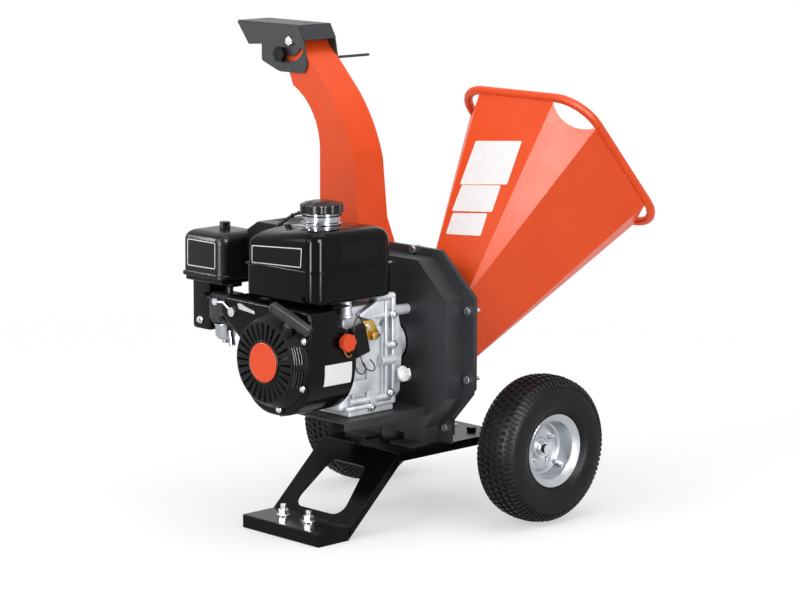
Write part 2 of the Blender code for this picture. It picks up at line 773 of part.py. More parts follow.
def make_housing():
    flange_face = FLANGE_PLANE_Y - HOUSING_SHEET
    leg_foot = BASE_TOP + GAP
    inner_y = HOUSING_Y + HOUSING_SHEET
    rear_inner_y = HOUSING_REAR_Y - HOUSING_SHEET

    # Two legs carry the front pan: each has a front leaf, a side leaf with a flange, and a foot
    pan_bottom = SHAFT_Z - HOUSING_DROP
    tab_top = pan_bottom + FLANGE_TAB_RISE
    leaf_top = lower_chamfer_z(HOUSING_LEG_OUTER) + HOUSING_SHEET / 5
    rear_flange = FLANGE_PLANE_Y + GAP + HOUSING_SHEET
    legs, rear_tabs = [], []
    for side in (-1, 1):
        def span(x_one, x_two, y_low, y_high, z_low, z_high):
            xs = sorted((side * x_one, side * x_two))
            return box((xs[0], y_low, z_low), (xs[1], y_high, z_high))

        wall = HOUSING_LEG_OUTER - HOUSING_SHEET
        tab = HOUSING_LEG_OUTER + FLANGE_TAB_RISE
        foot_front = HOUSING_Y - HOUSING_FOOT_REACH
        foot_top = leg_foot + HOUSING_SHEET
        legs += [
            span(HOUSING_LEG_INNER, HOUSING_LEG_OUTER, HOUSING_Y, inner_y, leg_foot, tab_top),
            span(wall, HOUSING_LEG_OUTER, HOUSING_Y, FLANGE_PLANE_Y - GAP, leg_foot, leaf_top),
            span(wall, tab, flange_face, FLANGE_PLANE_Y - GAP, leg_foot, tab_top),
            span(HOUSING_LEG_INNER, HOUSING_LEG_OUTER + 0.005, foot_front, inner_y, leg_foot, foot_top),
        ]
        rear_tabs.append(span(wall, tab, FLANGE_PLANE_Y + 2 * GAP, rear_flange, pan_bottom, tab_top))
    shaft_hole = rod((0, HOUSING_Y - 0.01, SHAFT_Z), (0, inner_y + 0.005, SHAFT_Z), 0.0385, 32)
    duct_inner = DUCT_BASE_HALF - DUCT_SHEET - 0.002
    outlet = slope_box(duct_inner, -0.03, 0.05, inner_y, rear_inner_y)
    seat = slope_box(1.27 * DUCT_BASE_HALF, -DUCT_SEAT, 0.05, HOUSING_Y - 0.01, HOUSING_REAR_Y + 0.01)
    bolt_places = flange_bolt_places()
    bolt_holes = [
        rod((x, flange_face - 0.01, z), (x, FLANGE_PLANE_Y + 0.02, z), 0.0046, 12) for x, z in bolt_places
    ]
    below = box((-0.2, 0.1, 0), (0.2, 0.4, leg_foot))
    part("housing_front", make_pan(HOUSING_Y, FLANGE_PLANE_Y), GREY_COAT,
         joined=legs, cuts=[shaft_hole, outlet, seat, below, *bolt_holes])

    opening = box(
        (
            THROAT_X - THROAT_HALF_WIDTH + HOPPER_SHEET,
            rear_inner_y - 0.01,
            THROAT_Z - THROAT_HALF_HEIGHT + HOPPER_SHEET,
        ),
        (
            THROAT_X + THROAT_HALF_WIDTH - HOPPER_SHEET,
            HOUSING_REAR_Y + 0.01,
            THROAT_Z + THROAT_HALF_HEIGHT - HOPPER_SHEET,
        ),
    )
    part("housing_rear", make_pan(HOUSING_REAR_Y, FLANGE_PLANE_Y + GAP), GREY_COAT,
         joined=rear_tabs, cuts=[opening, outlet, seat, below, *bolt_holes])

    stack = 2 * HOUSING_SHEET + 3 * GAP
    for i, (x, z) in enumerate(bolt_places):
        head, end = (x, flange_face - GAP, z), (x, rear_flange + 0.016, z)
        part(f"flange_bolt_{i + 1}", bolt(head, end, 0.004, FLANGE_BOLT_HEAD, nut=stack), ZINC)

    # The bed knife sits inside, under the feed opening
    knife_top = THROAT_Z - THROAT_HALF_HEIGHT + HOPPER_SHEET
    knife_front = rotor_face_y() + KNIFE_THICKNESS + GAP + KNIFE_RUNNING_GAP
    bed = box(
        (THROAT_X - THROAT_HALF_WIDTH, knife_front, knife_top - 0.022),
        (THROAT_X + THROAT_HALF_WIDTH, rear_inner_y - GAP, knife_top),
        0.001,
        1,
    )
    part("bed_knife", bed, STEEL)


def flange_bolt_places():
    """Bolt centres (X, Z) on the flange: top, both sides and both lower corners."""
    reach = HOUSING_HALF_WIDTH + FLANGE_SIDE_REACH / 2
    top = SHAFT_Z + HOUSING_RISE + FLANGE_BOLT_HEAD + 2 * GAP
    high, low = SHAFT_Z + 0.77 * HOUSING_SIDE_RISE, SHAFT_Z - 0.64 * HOUSING_SIDE_DROP
    tab = HOUSING_LEG_OUTER + FLANGE_TAB_RISE / 2
    tab_z = SHAFT_Z - HOUSING_DROP + FLANGE_TAB_RISE / 2
    return [(0.010, top), (reach, high), (reach, low), (tab, tab_z), (-reach, low), (-tab, tab_z)]


def rotor_face_y():
    """The disc's face towards the hopper."""
    return HOUSING_Y + HOUSING_SHEET + 0.005 + PADDLE_DEPTH + ROTOR_DISC


def make_rotor():
    face = rotor_face_y()
    back = face - ROTOR_DISC
    bore = CRANK_RADIUS + GAP
    profile = [
        (ROTOR_RADIUS, ROTOR_DISC),
        (ROTOR_RADIUS, 0),
        (ROTOR_HUB_RADIUS, 0),
        (ROTOR_HUB_RADIUS, -PADDLE_DEPTH),
        (bore, -PADDLE_DEPTH),
        (bore, ROTOR_DISC),
    ]
    pivot = (0, back, SHAFT_Z)
    disc = turned(profile, pivot, (0, 1, 0), 36, ring=True)
    paddles, slots = [], []
    for i in range(PADDLE_COUNT):
        turn = Matrix.Translation(pivot) @ Matrix.Rotation(2 * math.pi * i / PADDLE_COUNT + 0.5, 4, "Y")
        paddle = box(
            (ROTOR_HUB_RADIUS - 0.004, -PADDLE_DEPTH, -0.0025), (ROTOR_RADIUS - 0.004, 0.001, 0.0025)
        )
        paddle.matrix_world = turn @ paddle.matrix_world
        paddles.append(paddle)
    for i in range(2):
        turn = Matrix.Translation(pivot) @ Matrix.Rotation(math.pi * i, 4, "Y")
        slot = box(
            (KNIFE_INNER, -0.001, KNIFE_WIDTH / 2),
            (ROTOR_RADIUS - 0.008, ROTOR_DISC + 0.001, KNIFE_WIDTH / 2 + 0.010),
        )
        slot.matrix_world = turn @ slot.matrix_world
        slots.append(slot)
        knife = box(
            (KNIFE_INNER, ROTOR_DISC + GAP, -KNIFE_WIDTH / 2),
            (ROTOR_RADIUS - 0.006, ROTOR_DISC + GAP + KNIFE_THICKNESS, KNIFE_WIDTH / 2),
        )
        knife.matrix_world = turn @ knife.matrix_world
        # The cutting edge is ground back at 45 degrees
        ground = box((KNIFE_INNER - 0.01, -0.01, -0.01), (ROTOR_RADIUS + 0.01, 0.01, 0.01))
        edge = Matrix.Translation((0, ROTOR_DISC + GAP - 0.0035, KNIFE_WIDTH / 2 + 0.0035))
        slant = Matrix.Rotation(math.radians(45), 4, "X")
        ground.matrix_world = turn @ edge @ slant @ ground.matrix_world
        part(f"chipper_knife_{i + 1}", knife, STEEL, cuts=[ground], pivot=pivot)
    part("rotor_disc", disc, STEEL, joined=paddles, cuts=slots, pivot=pivot)


# Hopper


def hopper_rings(inset):
    """Throat and mouth rings of the funnel's skin, moved in by inset. Two mouth corners share a throat corner."""
    centre, up, _ = mouth_frame()
    w, h, k = MOUTH_HALF_WIDTH - inset, MOUTH_HALF_HEIGHT - inset, MOUTH_CHAMFER
    k -= inset * (2 - math.sqrt(2))
    across = Vector((1, 0, 0))
    pairs = [
        (-w + k, h),
        (w - k, h),
        (w, h - k),
        (w, k - h),
        (w - k, -h),
        (k - w, -h),
        (-w, k - h),
        (-w, h - k),
    ]
    mouth = [centre + across * x + up * z for x, z in pairs]
    tw, th = THROAT_HALF_WIDTH - inset, THROAT_HALF_HEIGHT - inset
    y = HOUSING_REAR_Y + GAP + HOPPER_PLATE / 2
    throat = [
        Vector((THROAT_X + x * tw, y, THROAT_Z + z * th)) for x, z in ((-1, 1), (1, 1), (1, -1), (-1, -1))
    ]
    return throat, mouth


def make_hopper():
    bm = bmesh.new()
    rings = []
    for inset in (0, HOPPER_SHEET):
        throat, mouth = hopper_rings(inset)
        rings.append(([bm.verts.new(p) for p in throat], [bm.verts.new(p) for p in mouth]))
    for throat, mouth in rings:
        for corner in range(4):
            first = (corner * 2 - 1) % 8
            after = (corner + 1) % 4
            bm.faces.new((throat[corner], mouth[first], mouth[(first + 1) % 8]))
            bm.faces.new((throat[corner], mouth[(first + 1) % 8], mouth[(first + 2) % 8], throat[after]))
    (outer_throat, outer_mouth), (inner_throat, inner_mouth) = rings
    for outer, inner in ((outer_throat, inner_throat), (outer_mouth, inner_mouth)):
        for i in range(len(outer)):
            j = (i + 1) % len(outer)
            bm.faces.new((outer[i], outer[j], inner[j], inner[i]))
    bmesh.ops.recalc_face_normals(bm, faces=bm.faces)
    funnel = from_bmesh(bm)

    margin = HOPPER_PLATE_MARGIN
    outer = [
        (THROAT_X - THROAT_HALF_WIDTH - margin, THROAT_Z - THROAT_HALF_HEIGHT - margin),
        (THROAT_X + THROAT_HALF_WIDTH + margin, THROAT_Z - THROAT_HALF_HEIGHT - margin),
        (THROAT_X + THROAT_HALF_WIDTH + margin, THROAT_Z + THROAT_HALF_HEIGHT + margin),
        (THROAT_X - THROAT_HALF_WIDTH - margin, THROAT_Z + THROAT_HALF_HEIGHT + margin),
    ]
    inner_w, inner_h = THROAT_HALF_WIDTH - HOPPER_SHEET, THROAT_HALF_HEIGHT - HOPPER_SHEET
    hole = [
        (THROAT_X + x * inner_w, THROAT_Z + z * inner_h) for x, z in ((-1, -1), (-1, 1), (1, 1), (1, -1))
    ]
    plate = slab(
        [rounded(outer, 0.008, 2), hole],
        HOPPER_PLATE,
        facing_front(HOUSING_REAR_Y + GAP + HOPPER_PLATE / 2),
    )

    # Hand holes: an arc cut out of each upper chamfer at the mouth
    throat, mouth = hopper_rings(0)
    scoops = []
    for corner, first, second in ((throat[0], mouth[7], mouth[0]), (throat[1], mouth[1], mouth[2])):
        chord = (second - first).length
        radius = (chord * chord / 4 + HAND_HOLE_DEPTH**2) / (2 * HAND_HOLE_DEPTH)
        middle = (first + second) / 2
        inward = (corner - middle).normalized()
        normal = (second - first).cross(inward).normalized()
        hub = middle - inward * (radius - HAND_HOLE_DEPTH)
        scoops.append(rod(hub - normal * 0.016, hub + normal * 0.016, radius, 40))
    part("hopper", funnel, ORANGE, joined=[plate], cuts=scoops)


def make_hopper_rim():
    """One tube round the mouth, with an arc over each chamfer."""
    centre, up, out = mouth_frame()
    w, h = MOUTH_HALF_WIDTH, MOUTH_HALF_HEIGHT
    outline = rounded([(-w, -h), (w, -h), (w, h), (-w, h)], MOUTH_CHAMFER, 6)
    lift = RIM_TUBE_RADIUS * math.cos(math.pi / RIM_TUBE_SIDES) + GAP
    points = [centre + Vector((x, 0, 0)) + up * z + out * lift for x, z in outline]
    part("hopper_rim", pipe(points, RIM_TUBE_RADIUS, RIM_TUBE_SIDES, cyclic=True), ORANGE)


# Discharge duct and hood


def duct_walls():
    """Pairs of (X, Z) points on the duct's left and right walls, from the housing up to the outlet."""
    middle, direction, normal = slope_frame()
    foot = normal * -0.004
    pairs = [
        (middle - direction * DUCT_BASE_HALF + foot, middle + direction * DUCT_BASE_HALF + foot),
        (Vector((DUCT_LEFT_X, DUCT_STRAIGHT_Z)), Vector((DUCT_RIGHT_X, DUCT_STRAIGHT_Z))),
    ]
    left_centre = Vector((DUCT_LEFT_X - DUCT_LEFT_BEND_RADIUS, DUCT_LEFT_BEND_Z))
    right_centre = Vector((DUCT_RIGHT_X - DUCT_RIGHT_BEND_RADIUS, DUCT_RIGHT_BEND_Z))
    steps = 6
    first_right = math.radians(16)
    for i in range(steps + 1):
        left = DUCT_LEFT_BEND * 0.72 * i / steps
        right = first_right + (DUCT_RIGHT_BEND - first_right) * i / steps
        pairs.append(
            (
                left_centre + Vector((math.cos(left), math.sin(left))) * DUCT_LEFT_BEND_RADIUS,
                right_centre + Vector((math.cos(right), math.sin(right))) * DUCT_RIGHT_BEND_RADIUS,
            )
        )
    # Past the bend the right wall flattens, then steps up into the ears that hold the hood
    for share, from_pivot in DUCT_END:
        left = DUCT_LEFT_BEND * share
        pairs.append(
            (
                left_centre + Vector((math.cos(left), math.sin(left))) * DUCT_LEFT_BEND_RADIUS,
                Vector(HOOD_PIVOT) + Vector(from_pivot),
            )
        )
    return pairs


def make_duct():
    rows = [
        [
            (left.x, HOUSING_Y, left.y),
            (right.x, HOUSING_Y, right.y),
            (right.x, HOUSING_REAR_Y, right.y),
            (left.x, HOUSING_REAR_Y, left.y),
        ]
        for left, right in duct_walls()
    ]
    duct = sheet(surface(rows, True), DUCT_SHEET)
    pivot_x, pivot_z = HOOD_PIVOT
    below_seat = slope_box(
        2 * DUCT_BASE_HALF, -0.05, GAP - DUCT_SEAT, HOUSING_Y - 0.01, HOUSING_REAR_Y + 0.01
    )
    ear = DUCT_SHEET * 0.8
    between_ears = box(
        (pivot_x - 0.06, HOUSING_Y + ear, pivot_z - 0.010),
        (pivot_x + 0.013, HOUSING_REAR_Y - ear, pivot_z + 0.03),
    )
    hood_far = HOUSING_REAR_Y + HOOD_SIDE_GAP + HOOD_SHEET
    far_stud = rod(
        (pivot_x, HOUSING_REAR_Y - 0.002, pivot_z), (pivot_x, hood_far + 0.006, pivot_z), 0.005, 16
    )
    stud_x, stud_z = clamp_place()
    holes = [
        rod(
            (pivot_x, HOUSING_Y - 0.01, pivot_z),
            (pivot_x, HOUSING_Y + 0.01, pivot_z),
            0.005 + 2 * GAP,
            16,
        ),
        rod(
            (stud_x, HOUSING_Y - 0.01, stud_z),
            (stud_x, HOUSING_Y + 0.01, stud_z),
            CLAMP_STUD_RADIUS + 2 * GAP,
            16,
        ),
    ]
    part("chute", duct, ORANGE, joined=[far_stud], cuts=[below_seat, between_ears, *holes])
    near_face = HOUSING_Y - HOOD_SIDE_GAP - HOOD_SHEET
    body = bolt((pivot_x, near_face - GAP, pivot_z), (pivot_x, HOUSING_Y + 0.012, pivot_z), 0.005, 0.0085)
    nut_y = HOUSING_Y + DUCT_SHEET + GAP
    nut = rod((pivot_x, nut_y, pivot_z), (pivot_x, nut_y + 0.006, pivot_z), 0.0085, 6)
    part("hood_pivot_bolt", body, ZINC, joined=[nut])


def clamp_place():
    """(X, Z) of the clamp knob's stud, on the arc slot round the hood's pivot."""
    return (
        HOOD_PIVOT[0] + CLAMP_RADIUS * math.cos(CLAMP_ANGLE),
        HOOD_PIVOT[1] + CLAMP_RADIUS * math.sin(CLAMP_ANGLE),
    )


def arc_slot(radius, half_width, first, last, steps=8):
    """The outline of a slot that follows an arc round the hood's pivot."""
    px, pz = HOOD_PIVOT
    outline = []
    for side, start, end in ((1, first, last), (-1, last, first)):
        at = radius + side * half_width
        for i in range(steps + 1):
            angle = start + (end - start) * i / steps
            outline.append((px + at * math.cos(angle), pz + at * math.sin(angle)))
        cx, cz = px + radius * math.cos(end), pz + radius * math.sin(end)
        for k in (1, 2, 3):
            turn = end + math.pi * k / 4 + (0 if side > 0 else math.pi)
            outline.append((cx + half_width * math.cos(turn), cz + half_width * math.sin(turn)))
    return outline


def make_hood():
    near_y = HOUSING_Y - HOOD_SIDE_GAP - HOOD_SHEET / 2
    far_y = HOUSING_REAR_Y + HOOD_SIDE_GAP + HOOD_SHEET / 2
    px, pz = HOOD_PIVOT
    corners = [
        (px - 0.1435, pz + 0.0265),
        (px - 0.1125, pz - 0.0125),
        (px - 0.0775, pz - 0.0100),
        (px - 0.0775, pz - 0.0390),
        (px - 0.0300, pz - 0.0560),
        (px + 0.0370, pz - 0.0550),
        (px + 0.0420, pz - 0.0400),
        (px + 0.0340, pz),
        (px + 0.0200, pz + 0.0265),
    ]
    outline = rounded(corners, [0, 0.004, 0, 0.006, 0.040, 0.012, 0.010, 0.010, 0.006], 3)
    pivot_hole = circle(0.005 + 2 * GAP, HOOD_PIVOT, 16)
    pivot_hole.reverse()
    slot = arc_slot(CLAMP_RADIUS, CLAMP_STUD_RADIUS + 2 * GAP, CLAMP_ANGLE, SLOT_END_ANGLE)
    near = slab([outline, pivot_hole, slot], HOOD_SHEET, facing_front(near_y))
    far = slab([outline, pivot_hole], HOOD_SHEET, facing_front(far_y))
    # The top sheet bends down behind the pivot
    line = [(px + 0.0335, pz + 0.002), (px + 0.0195, pz + 0.0260), (px - 0.1425, pz + 0.0260)]
    rows = [[(x, y, z) for y in (far_y, near_y)] for x, z in line]
    top = sheet(surface(rows, False), HOOD_SHEET)
    rod_x, rod_z = px + HOOD_ROD_PLACE[0], pz + HOOD_ROD_PLACE[1]
    handle = rod((rod_x, far_y, rod_z), (rod_x, far_y + HOOD_ROD_LENGTH, rod_z), HOOD_ROD_RADIUS, 12)
    part("deflector_hood", near, GREY_COAT, joined=[far, top, handle], pivot=(px, near_y, pz))

    x, z = clamp_place()
    base = near_y - HOOD_SHEET / 2 - GAP
    knob = slab([lobed(0.015, 0.003, 6, (x, z))], 0.009, facing_front(base - 0.0075))
    collar = rod((x, base, z), (x, base - 0.004, z), 0.010, 20)
    stud = rod((x, base - 0.005, z), (x, HOUSING_Y + 0.009, z), CLAMP_STUD_RADIUS, 12)
    part("hood_knob", knob, BLACK_PLASTIC, joined=[collar, stud], pivot=(x, base, z))


# Engine


def make_engine_plate():
    half, top = ENGINE_PLATE_HALF, ENGINE_PLATE_TOP
    profile = [(-half, -BASE_FLANGE), (-half, 0), (half, 0), (half, -BASE_FLANGE)]
    length = HOUSING_Y - GAP - ENGINE_PLATE_FRONT_Y
    plate = folded(profile, (0, ENGINE_PLATE_FRONT_Y, top), (0, length, 0), (1, 0, 0), ENGINE_PLATE_SHEET)
    holes = [rod((x, y, top - 0.02), (x, y, top + 0.02), 0.0052, 12) for x, y in engine_bolt_places()]
    part("engine_plate", plate, GREY_COAT, cuts=holes)


def engine_bolt_places():
    return [(x, y) for x in (-0.050, 0.050) for y in (0.082, 0.160)]


def make_crankcase():
    z = SHAFT_Z
    floor = ENGINE_PLATE_TOP + GAP
    front, rear, right = CRANKCASE_FRONT_Y, CRANKCASE_REAR_Y, CRANKCASE_RIGHT
    body = box((-0.062, front, floor + 0.008), (right - 0.006, rear, z + 0.045), 0.010)
    pieces = [
        box((-right, 0.069, floor), (right, rear, floor + 0.012), 0.002, 1),
        box((0.010, front + 0.012, z + 0.030), (right - 0.012, rear - 0.006, z + 0.082), 0.006),
        box((0.026, rear - 0.030, z + 0.070), (right - 0.002, rear, z + 0.0985), 0.004, 1),
        rod((0.045, 0.095, z - 0.010), (right + 0.004, 0.095, z - 0.010), 0.016, 20),
        rod((0.045, 0.128, z + 0.055), (right + 0.002, 0.128, z + 0.055), 0.010, 16),
        rod((0.045, 0.120, floor + 0.026), (right + 0.006, 0.120, floor + 0.026), 0.009, 6),
    ]
    alert_y, alert_z = ALERT_PLACE
    pieces.append(
        box(
            (right - 0.010, alert_y - 0.012, alert_z - 0.012),
            (right + 0.004 + GAP, alert_y + 0.012, alert_z + 0.012),
        )
    )
    for y in (0.078, 0.112, 0.146):
        pieces.append(box((right - 0.010, y - 0.002, floor + 0.010), (right, y + 0.002, z + 0.030)))
    for x, y in engine_bolt_places():
        low = ENGINE_PLATE_TOP - ENGINE_PLATE_SHEET - GAP
        pieces.append(rod((x, y, floor + 0.004), (x, y, low - 0.010), 0.004, 8))
        pieces.append(rod((x, y, low), (x, y, low - 0.007), 0.0075, 6))
        pieces.append(rod((x, y, floor + 0.006), (x, y, floor + 0.017), 0.0070, 6))
    lean = Vector((-math.cos(CYLINDER_LEAN), 0, math.sin(CYLINDER_LEAN)))
    seat = cylinder_point(0.078)
    pieces.append(rod(cylinder_point(0.030), seat, 0.046, 20))
    bore = rod((0, front - 0.02, z), (0, rear + 0.02, z), CRANK_RADIUS + 2 * GAP)
    trim = box((-0.5, front - 0.2, 0.1), (0.5, front, 0.6))
    part("crankcase", body, CAST_ALUMINIUM, joined=pieces, cuts=[bore, trim])

    # Finned cylinder and head on the leaning axis
    start = cylinder_point(0.078) + lean * GAP
    barrel = rod(start, cylinder_point(0.170), 0.040, 12)
    fins = []
    for i in range(9):
        at = cylinder_point(0.086 + 0.0095 * i)
        fin = box((-0.052, -0.054, -0.0016), (0.048, 0.054, 0.0016))
        fin.matrix_world = along(at, lean) @ fin.matrix_world
        fins.append(fin)
    carb_x, carb_y, carb_z = CARB_CENTRE
    port = carb_x + CARB_HALF_LENGTH + GAP
    flange = box(
        (port, carb_y - 0.020, carb_z - 0.022), (port + 0.007, carb_y + 0.020, carb_z + 0.022), 0.002, 1
    )
    bend = Vector((port + 0.014, carb_y + 0.003, carb_z))
    intake = rod((port + 0.004, carb_y, carb_z), bend, 0.0125, 14)
    runner = rod(bend - Vector((0.004, 0.001, 0)), (-0.138, carb_y + 0.037, carb_z + 0.006), 0.0115, 14)
    exhaust = rod((*EXHAUST_PLACE, z + 0.069), (*EXHAUST_PLACE, MUFFLER_LOW[2] - GAP), 0.012, 14)
    part("cylinder_head", barrel, CAST_ALUMINIUM, joined=[*fins, flange, intake, runner, exhaust])
    cover_low = cylinder_point(0.1705)
    cover = box((-0.036, -0.044, GAP), (0.034, 0.044, 0.026), 0.008, 2)
    cover.matrix_world = along(cover_low, lean) @ cover.matrix_world
    part("rocker_cover", cover, GLOSS_BLACK)
    down = Vector((-math.sin(CYLINDER_LEAN), 0, -math.cos(CYLINDER_LEAN)))
    plug_start = cylinder_point(0.150) + down * (0.052 + 2 * GAP) + Vector((0, 0.030, 0))
    cap = rod(plug_start, plug_start + down * 0.036, 0.010, 14, 0.007)
    boot = rod(plug_start + down * 0.026, plug_start + down * 0.026 + Vector((0, 0.034, 0)), 0.006, 10)
    part("spark_plug_cap", cap, BLACK_PLASTIC, joined=[boot])

    # Power-side cover with the shaft boss and four standoffs that meet the housing
    cover_back = rear + GAP
    face = cover_back + SIDE_COVER_THICKNESS
    outline = rounded(
        [
            (-0.058, z - 0.086),
            (0.056, z - 0.086),
            (0.064, z + 0.020),
            (0.044, z + 0.086),
            (-0.050, z + 0.086),
            (-0.070, z),
        ],
        [0.014, 0.014, 0.02, 0.016, 0.016, 0.03], 3)
    cover = rounding(slab([outline], SIDE_COVER_THICKNESS, facing_front((cover_back + face) / 2)), 0.003)
    reach = HOUSING_Y - GAP
    bosses = [rod((0, face - 0.002, z), (0, reach, z), 0.034, 24)]
    for x, dz in ((-0.038, -0.058), (0.038, -0.058), (0.036, 0.060), (-0.036, 0.060)):
        bosses.append(rod((x, face - 0.002, z + dz), (x, reach, z + dz), 0.009, 10))
    filler = rod(
        dipstick_seat() - dipstick_axis() * 0.034, dipstick_seat() - dipstick_axis() * GAP, 0.011, 16
    )
    bosses.append(combine(filler, [box((-0.1, 0.1, 0.1), (0.1, cover_back + GAP, 0.5))], "DIFFERENCE"))
    bore = rod((0, rear - 0.02, z), (0, reach + 0.02, z), CRANK_RADIUS + 2 * GAP)
    part("side_cover", cover, CAST_ALUMINIUM, joined=bosses, cuts=[bore])


def cylinder_point(distance):
    """A point on the cylinder's axis, this far from the crankshaft."""
    lean = Vector((-math.cos(CYLINDER_LEAN), 0, math.sin(CYLINDER_LEAN)))
    return Vector((0, (CRANKCASE_FRONT_Y + CRANKCASE_REAR_Y) / 2, SHAFT_Z)) + lean * distance


def dipstick_axis():
    return Vector((0.94, 0.10, 0.32)).normalized()


def dipstick_seat():
    return Vector((CRANKCASE_RIGHT + 0.013, CRANKCASE_REAR_Y + 0.008, SHAFT_Z - 0.043))


def make_dipstick():
    seat, axis = dipstick_seat(), dipstick_axis()
    knob = turned(
        [(0, 0.006), (0.011, 0.006), (0.0135, 0.004), (0.0135, 0.001), (0.012, 0), (0, 0)], seat, axis, 24
    )
    tab = box((-0.0065, -0.0015, 0.003), (0.0065, 0.0015, 0.019), 0.001, 1)
    tab.matrix_world = along(seat, axis) @ tab.matrix_world
    part("oil_dipstick", knob, WHITE_PLASTIC, joined=[tab], pivot=seat)


def make_crankshaft():
    """Straight journals only. The throw is inside the closed crankcase and isn't modelled."""
    front = -0.022
    rear = rotor_face_y() + KNIFE_THICKNESS
    length = rear - front
    seat = 0.030 - front
    profile = [
        (0, length),
        (CRANK_RADIUS - 0.001, length),
        (CRANK_RADIUS, length - 0.001),
        (CRANK_RADIUS, seat),
        (0.010, seat),
        (0.0095, 0),
        (0, 0),
    ]
    pivot = (0, front, SHAFT_Z)
    part("crankshaft", turned(profile, pivot, (0, 1, 0), 24), STEEL, pivot=pivot)

    hub = [
        (FLYWHEEL_RADIUS, 0.012),
        (FLYWHEEL_RADIUS, 0),
        (0.022, 0),
        (0.022, -0.018),
        (0.0103, -0.018),
        (0.0103, 0.012),
    ]
    centre = (0, 0.002, SHAFT_Z)
    wheel = turned(hub, centre, (0, -1, 0), 32, ring=True)
    blades = []
    for i in range(FAN_BLADES):
        turn = Matrix.Translation(centre) @ Matrix.Rotation(2 * math.pi * i / FAN_BLADES, 4, "Y")
        blade = box((0.040, -0.027, -0.0012), (FLYWHEEL_RADIUS - 0.003, -0.011, 0.0012))
        blade.matrix_world = turn @ Matrix.Rotation(math.radians(12), 4, "Y") @ blade.matrix_world
        blades.append(blade)
    part("flywheel_fan", wheel, BLACK_PLASTIC, joined=blades, pivot=centre)


def shroud_outline():
    z = SHAFT_Z
    corners = [
        (SHROUD_LEFT, z - SHROUD_RADIUS),
        (SHROUD_RIGHT, z - SHROUD_RADIUS),
        (SHROUD_RIGHT, z + SHROUD_RADIUS),
        (SHROUD_LEFT - 0.046, z + SHROUD_RADIUS + 0.002),
        (SHROUD_LEFT - 0.058, z + 0.066),
        (SHROUD_LEFT, z + 0.022),
    ]
    return rounded(corners, [0.074, 0.080, 0.014, 0.012, 0.014, 0.024], 6)


def make_shroud():
    outline = shroud_outline()
    back = CRANKCASE_FRONT_Y - GAP
    bm = bmesh.new()
    rows = [[bm.verts.new((x, y, z)) for x, z in outline] for y in (SHROUD_FRONT_Y, back)]
    bm.faces.new(rows[0])
    for i in range(len(outline)):
        j = (i + 1) % len(outline)
        bm.faces.new((rows[0][j], rows[0][i], rows[1][i], rows[1][j]))
    body = sheet(from_bmesh(bm), SHROUD_SHEET)
    intake = rod(
        (0, SHROUD_FRONT_Y - 0.02, SHAFT_Z),
        (0, SHROUD_FRONT_Y + 0.02, SHAFT_Z),
        RECOIL_RADIUS - 0.006,
        40,
    )
    spindle = rod((SHROUD_RIGHT - 0.02, SWITCH_PLACE[0], SWITCH_PLACE[1]),
                  (SHROUD_RIGHT + 0.02, SWITCH_PLACE[0], SWITCH_PLACE[1]), 0.0045 + 2 * GAP, 16)
    lever_hole = rod((THROTTLE_PLACE[0], SHROUD_FRONT_Y - 0.02, THROTTLE_PLACE[1]),
                     (THROTTLE_PLACE[0], SHROUD_FRONT_Y + 0.02, THROTTLE_PLACE[1]), 0.003 + 2 * GAP, 12)
    part("fan_shroud", body, GLOSS_BLACK, cuts=[intake, spindle, lever_hole])


def make_recoil():
    """The starter housing is a turned shell with a grille of radial slots and two rows of side vents."""
    height = SHROUD_FRONT_Y - GAP - RECOIL_FACE_Y
    r, t = RECOIL_RADIUS, SHROUD_SHEET
    profile = [
        (0, height),
        (r - 0.009, height),
        (r - 0.002, height - 0.004),
        (r, 0.003),
        (r + 0.0025, 0.003),
        (r + 0.0025, 0),
        (r - t, 0),
        (r - 0.002 - t, height - 0.0045),
        (r - 0.0095, height - t),
        (0, height - t),
    ]
    back = (0, SHROUD_FRONT_Y - GAP, SHAFT_Z)
    body = turned(profile, back, (0, -1, 0), 40)
    slots = []
    for i in range(RECOIL_SLOTS):
        turn = Matrix.Translation((0, RECOIL_FACE_Y, SHAFT_Z)) @ Matrix.Rotation(
            2 * math.pi * i / RECOIL_SLOTS, 4, "Y"
        )
        slot = box((CAP_RADIUS + 0.004, -0.005, -0.0021), (r - 0.014, 0.006, 0.0021))
        slot.matrix_world = turn @ slot.matrix_world
        slots.append(slot)
    for angle in (-44, -28, 22, 38, 54):
        turn = Matrix.Translation((0, RECOIL_FACE_Y, SHAFT_Z)) @ Matrix.Rotation(
            math.radians(angle), 4, "Y"
        )
        vent = box((r - 0.008, 0.0065, -0.006), (r + 0.005, height - 0.0055, 0.006))
        vent.matrix_world = turn @ vent.matrix_world
        slots.append(vent)
    guide_low, guide_top = handle_point(-0.034), handle_point(-0.0145)
    guide = rod(guide_low, guide_top, 0.010, 16, 0.009)
    ear = box(
        (0.040, SHROUD_FRONT_Y - 0.0035, SHAFT_Z + 0.036),
        (0.064, SHROUD_FRONT_Y - GAP, SHAFT_Z + 0.066),
        0.001,
        1,
    )
    part("recoil_housing", body, BLACK_PLASTIC, joined=[guide, ear], cuts=slots)
    profile = [
        (0, 0.0036),
        (CAP_RADIUS - 0.003, 0.0033),
        (CAP_RADIUS, 0.002),
        (CAP_RADIUS, 0),
        (0, 0),
    ]
    cap = turned(profile, (0, RECOIL_FACE_Y - GAP, SHAFT_Z), (0, -1, 0), 40)
    part("recoil_cap", cap, RED_PLASTIC)

    grip_axis = Vector((0.85, 0.20, -0.42)).normalized()
    middle = handle_point(0)
    grip = pipe([middle + grip_axis * s for s in (-0.043, -0.038, 0.038, 0.043)], 0.0085)
    neck = rod(handle_point(-0.0145) + handle_axis() * GAP, middle, 0.008, 14)
    part("pull_handle", grip, BLACK_PLASTIC, joined=[neck], pivot=middle)


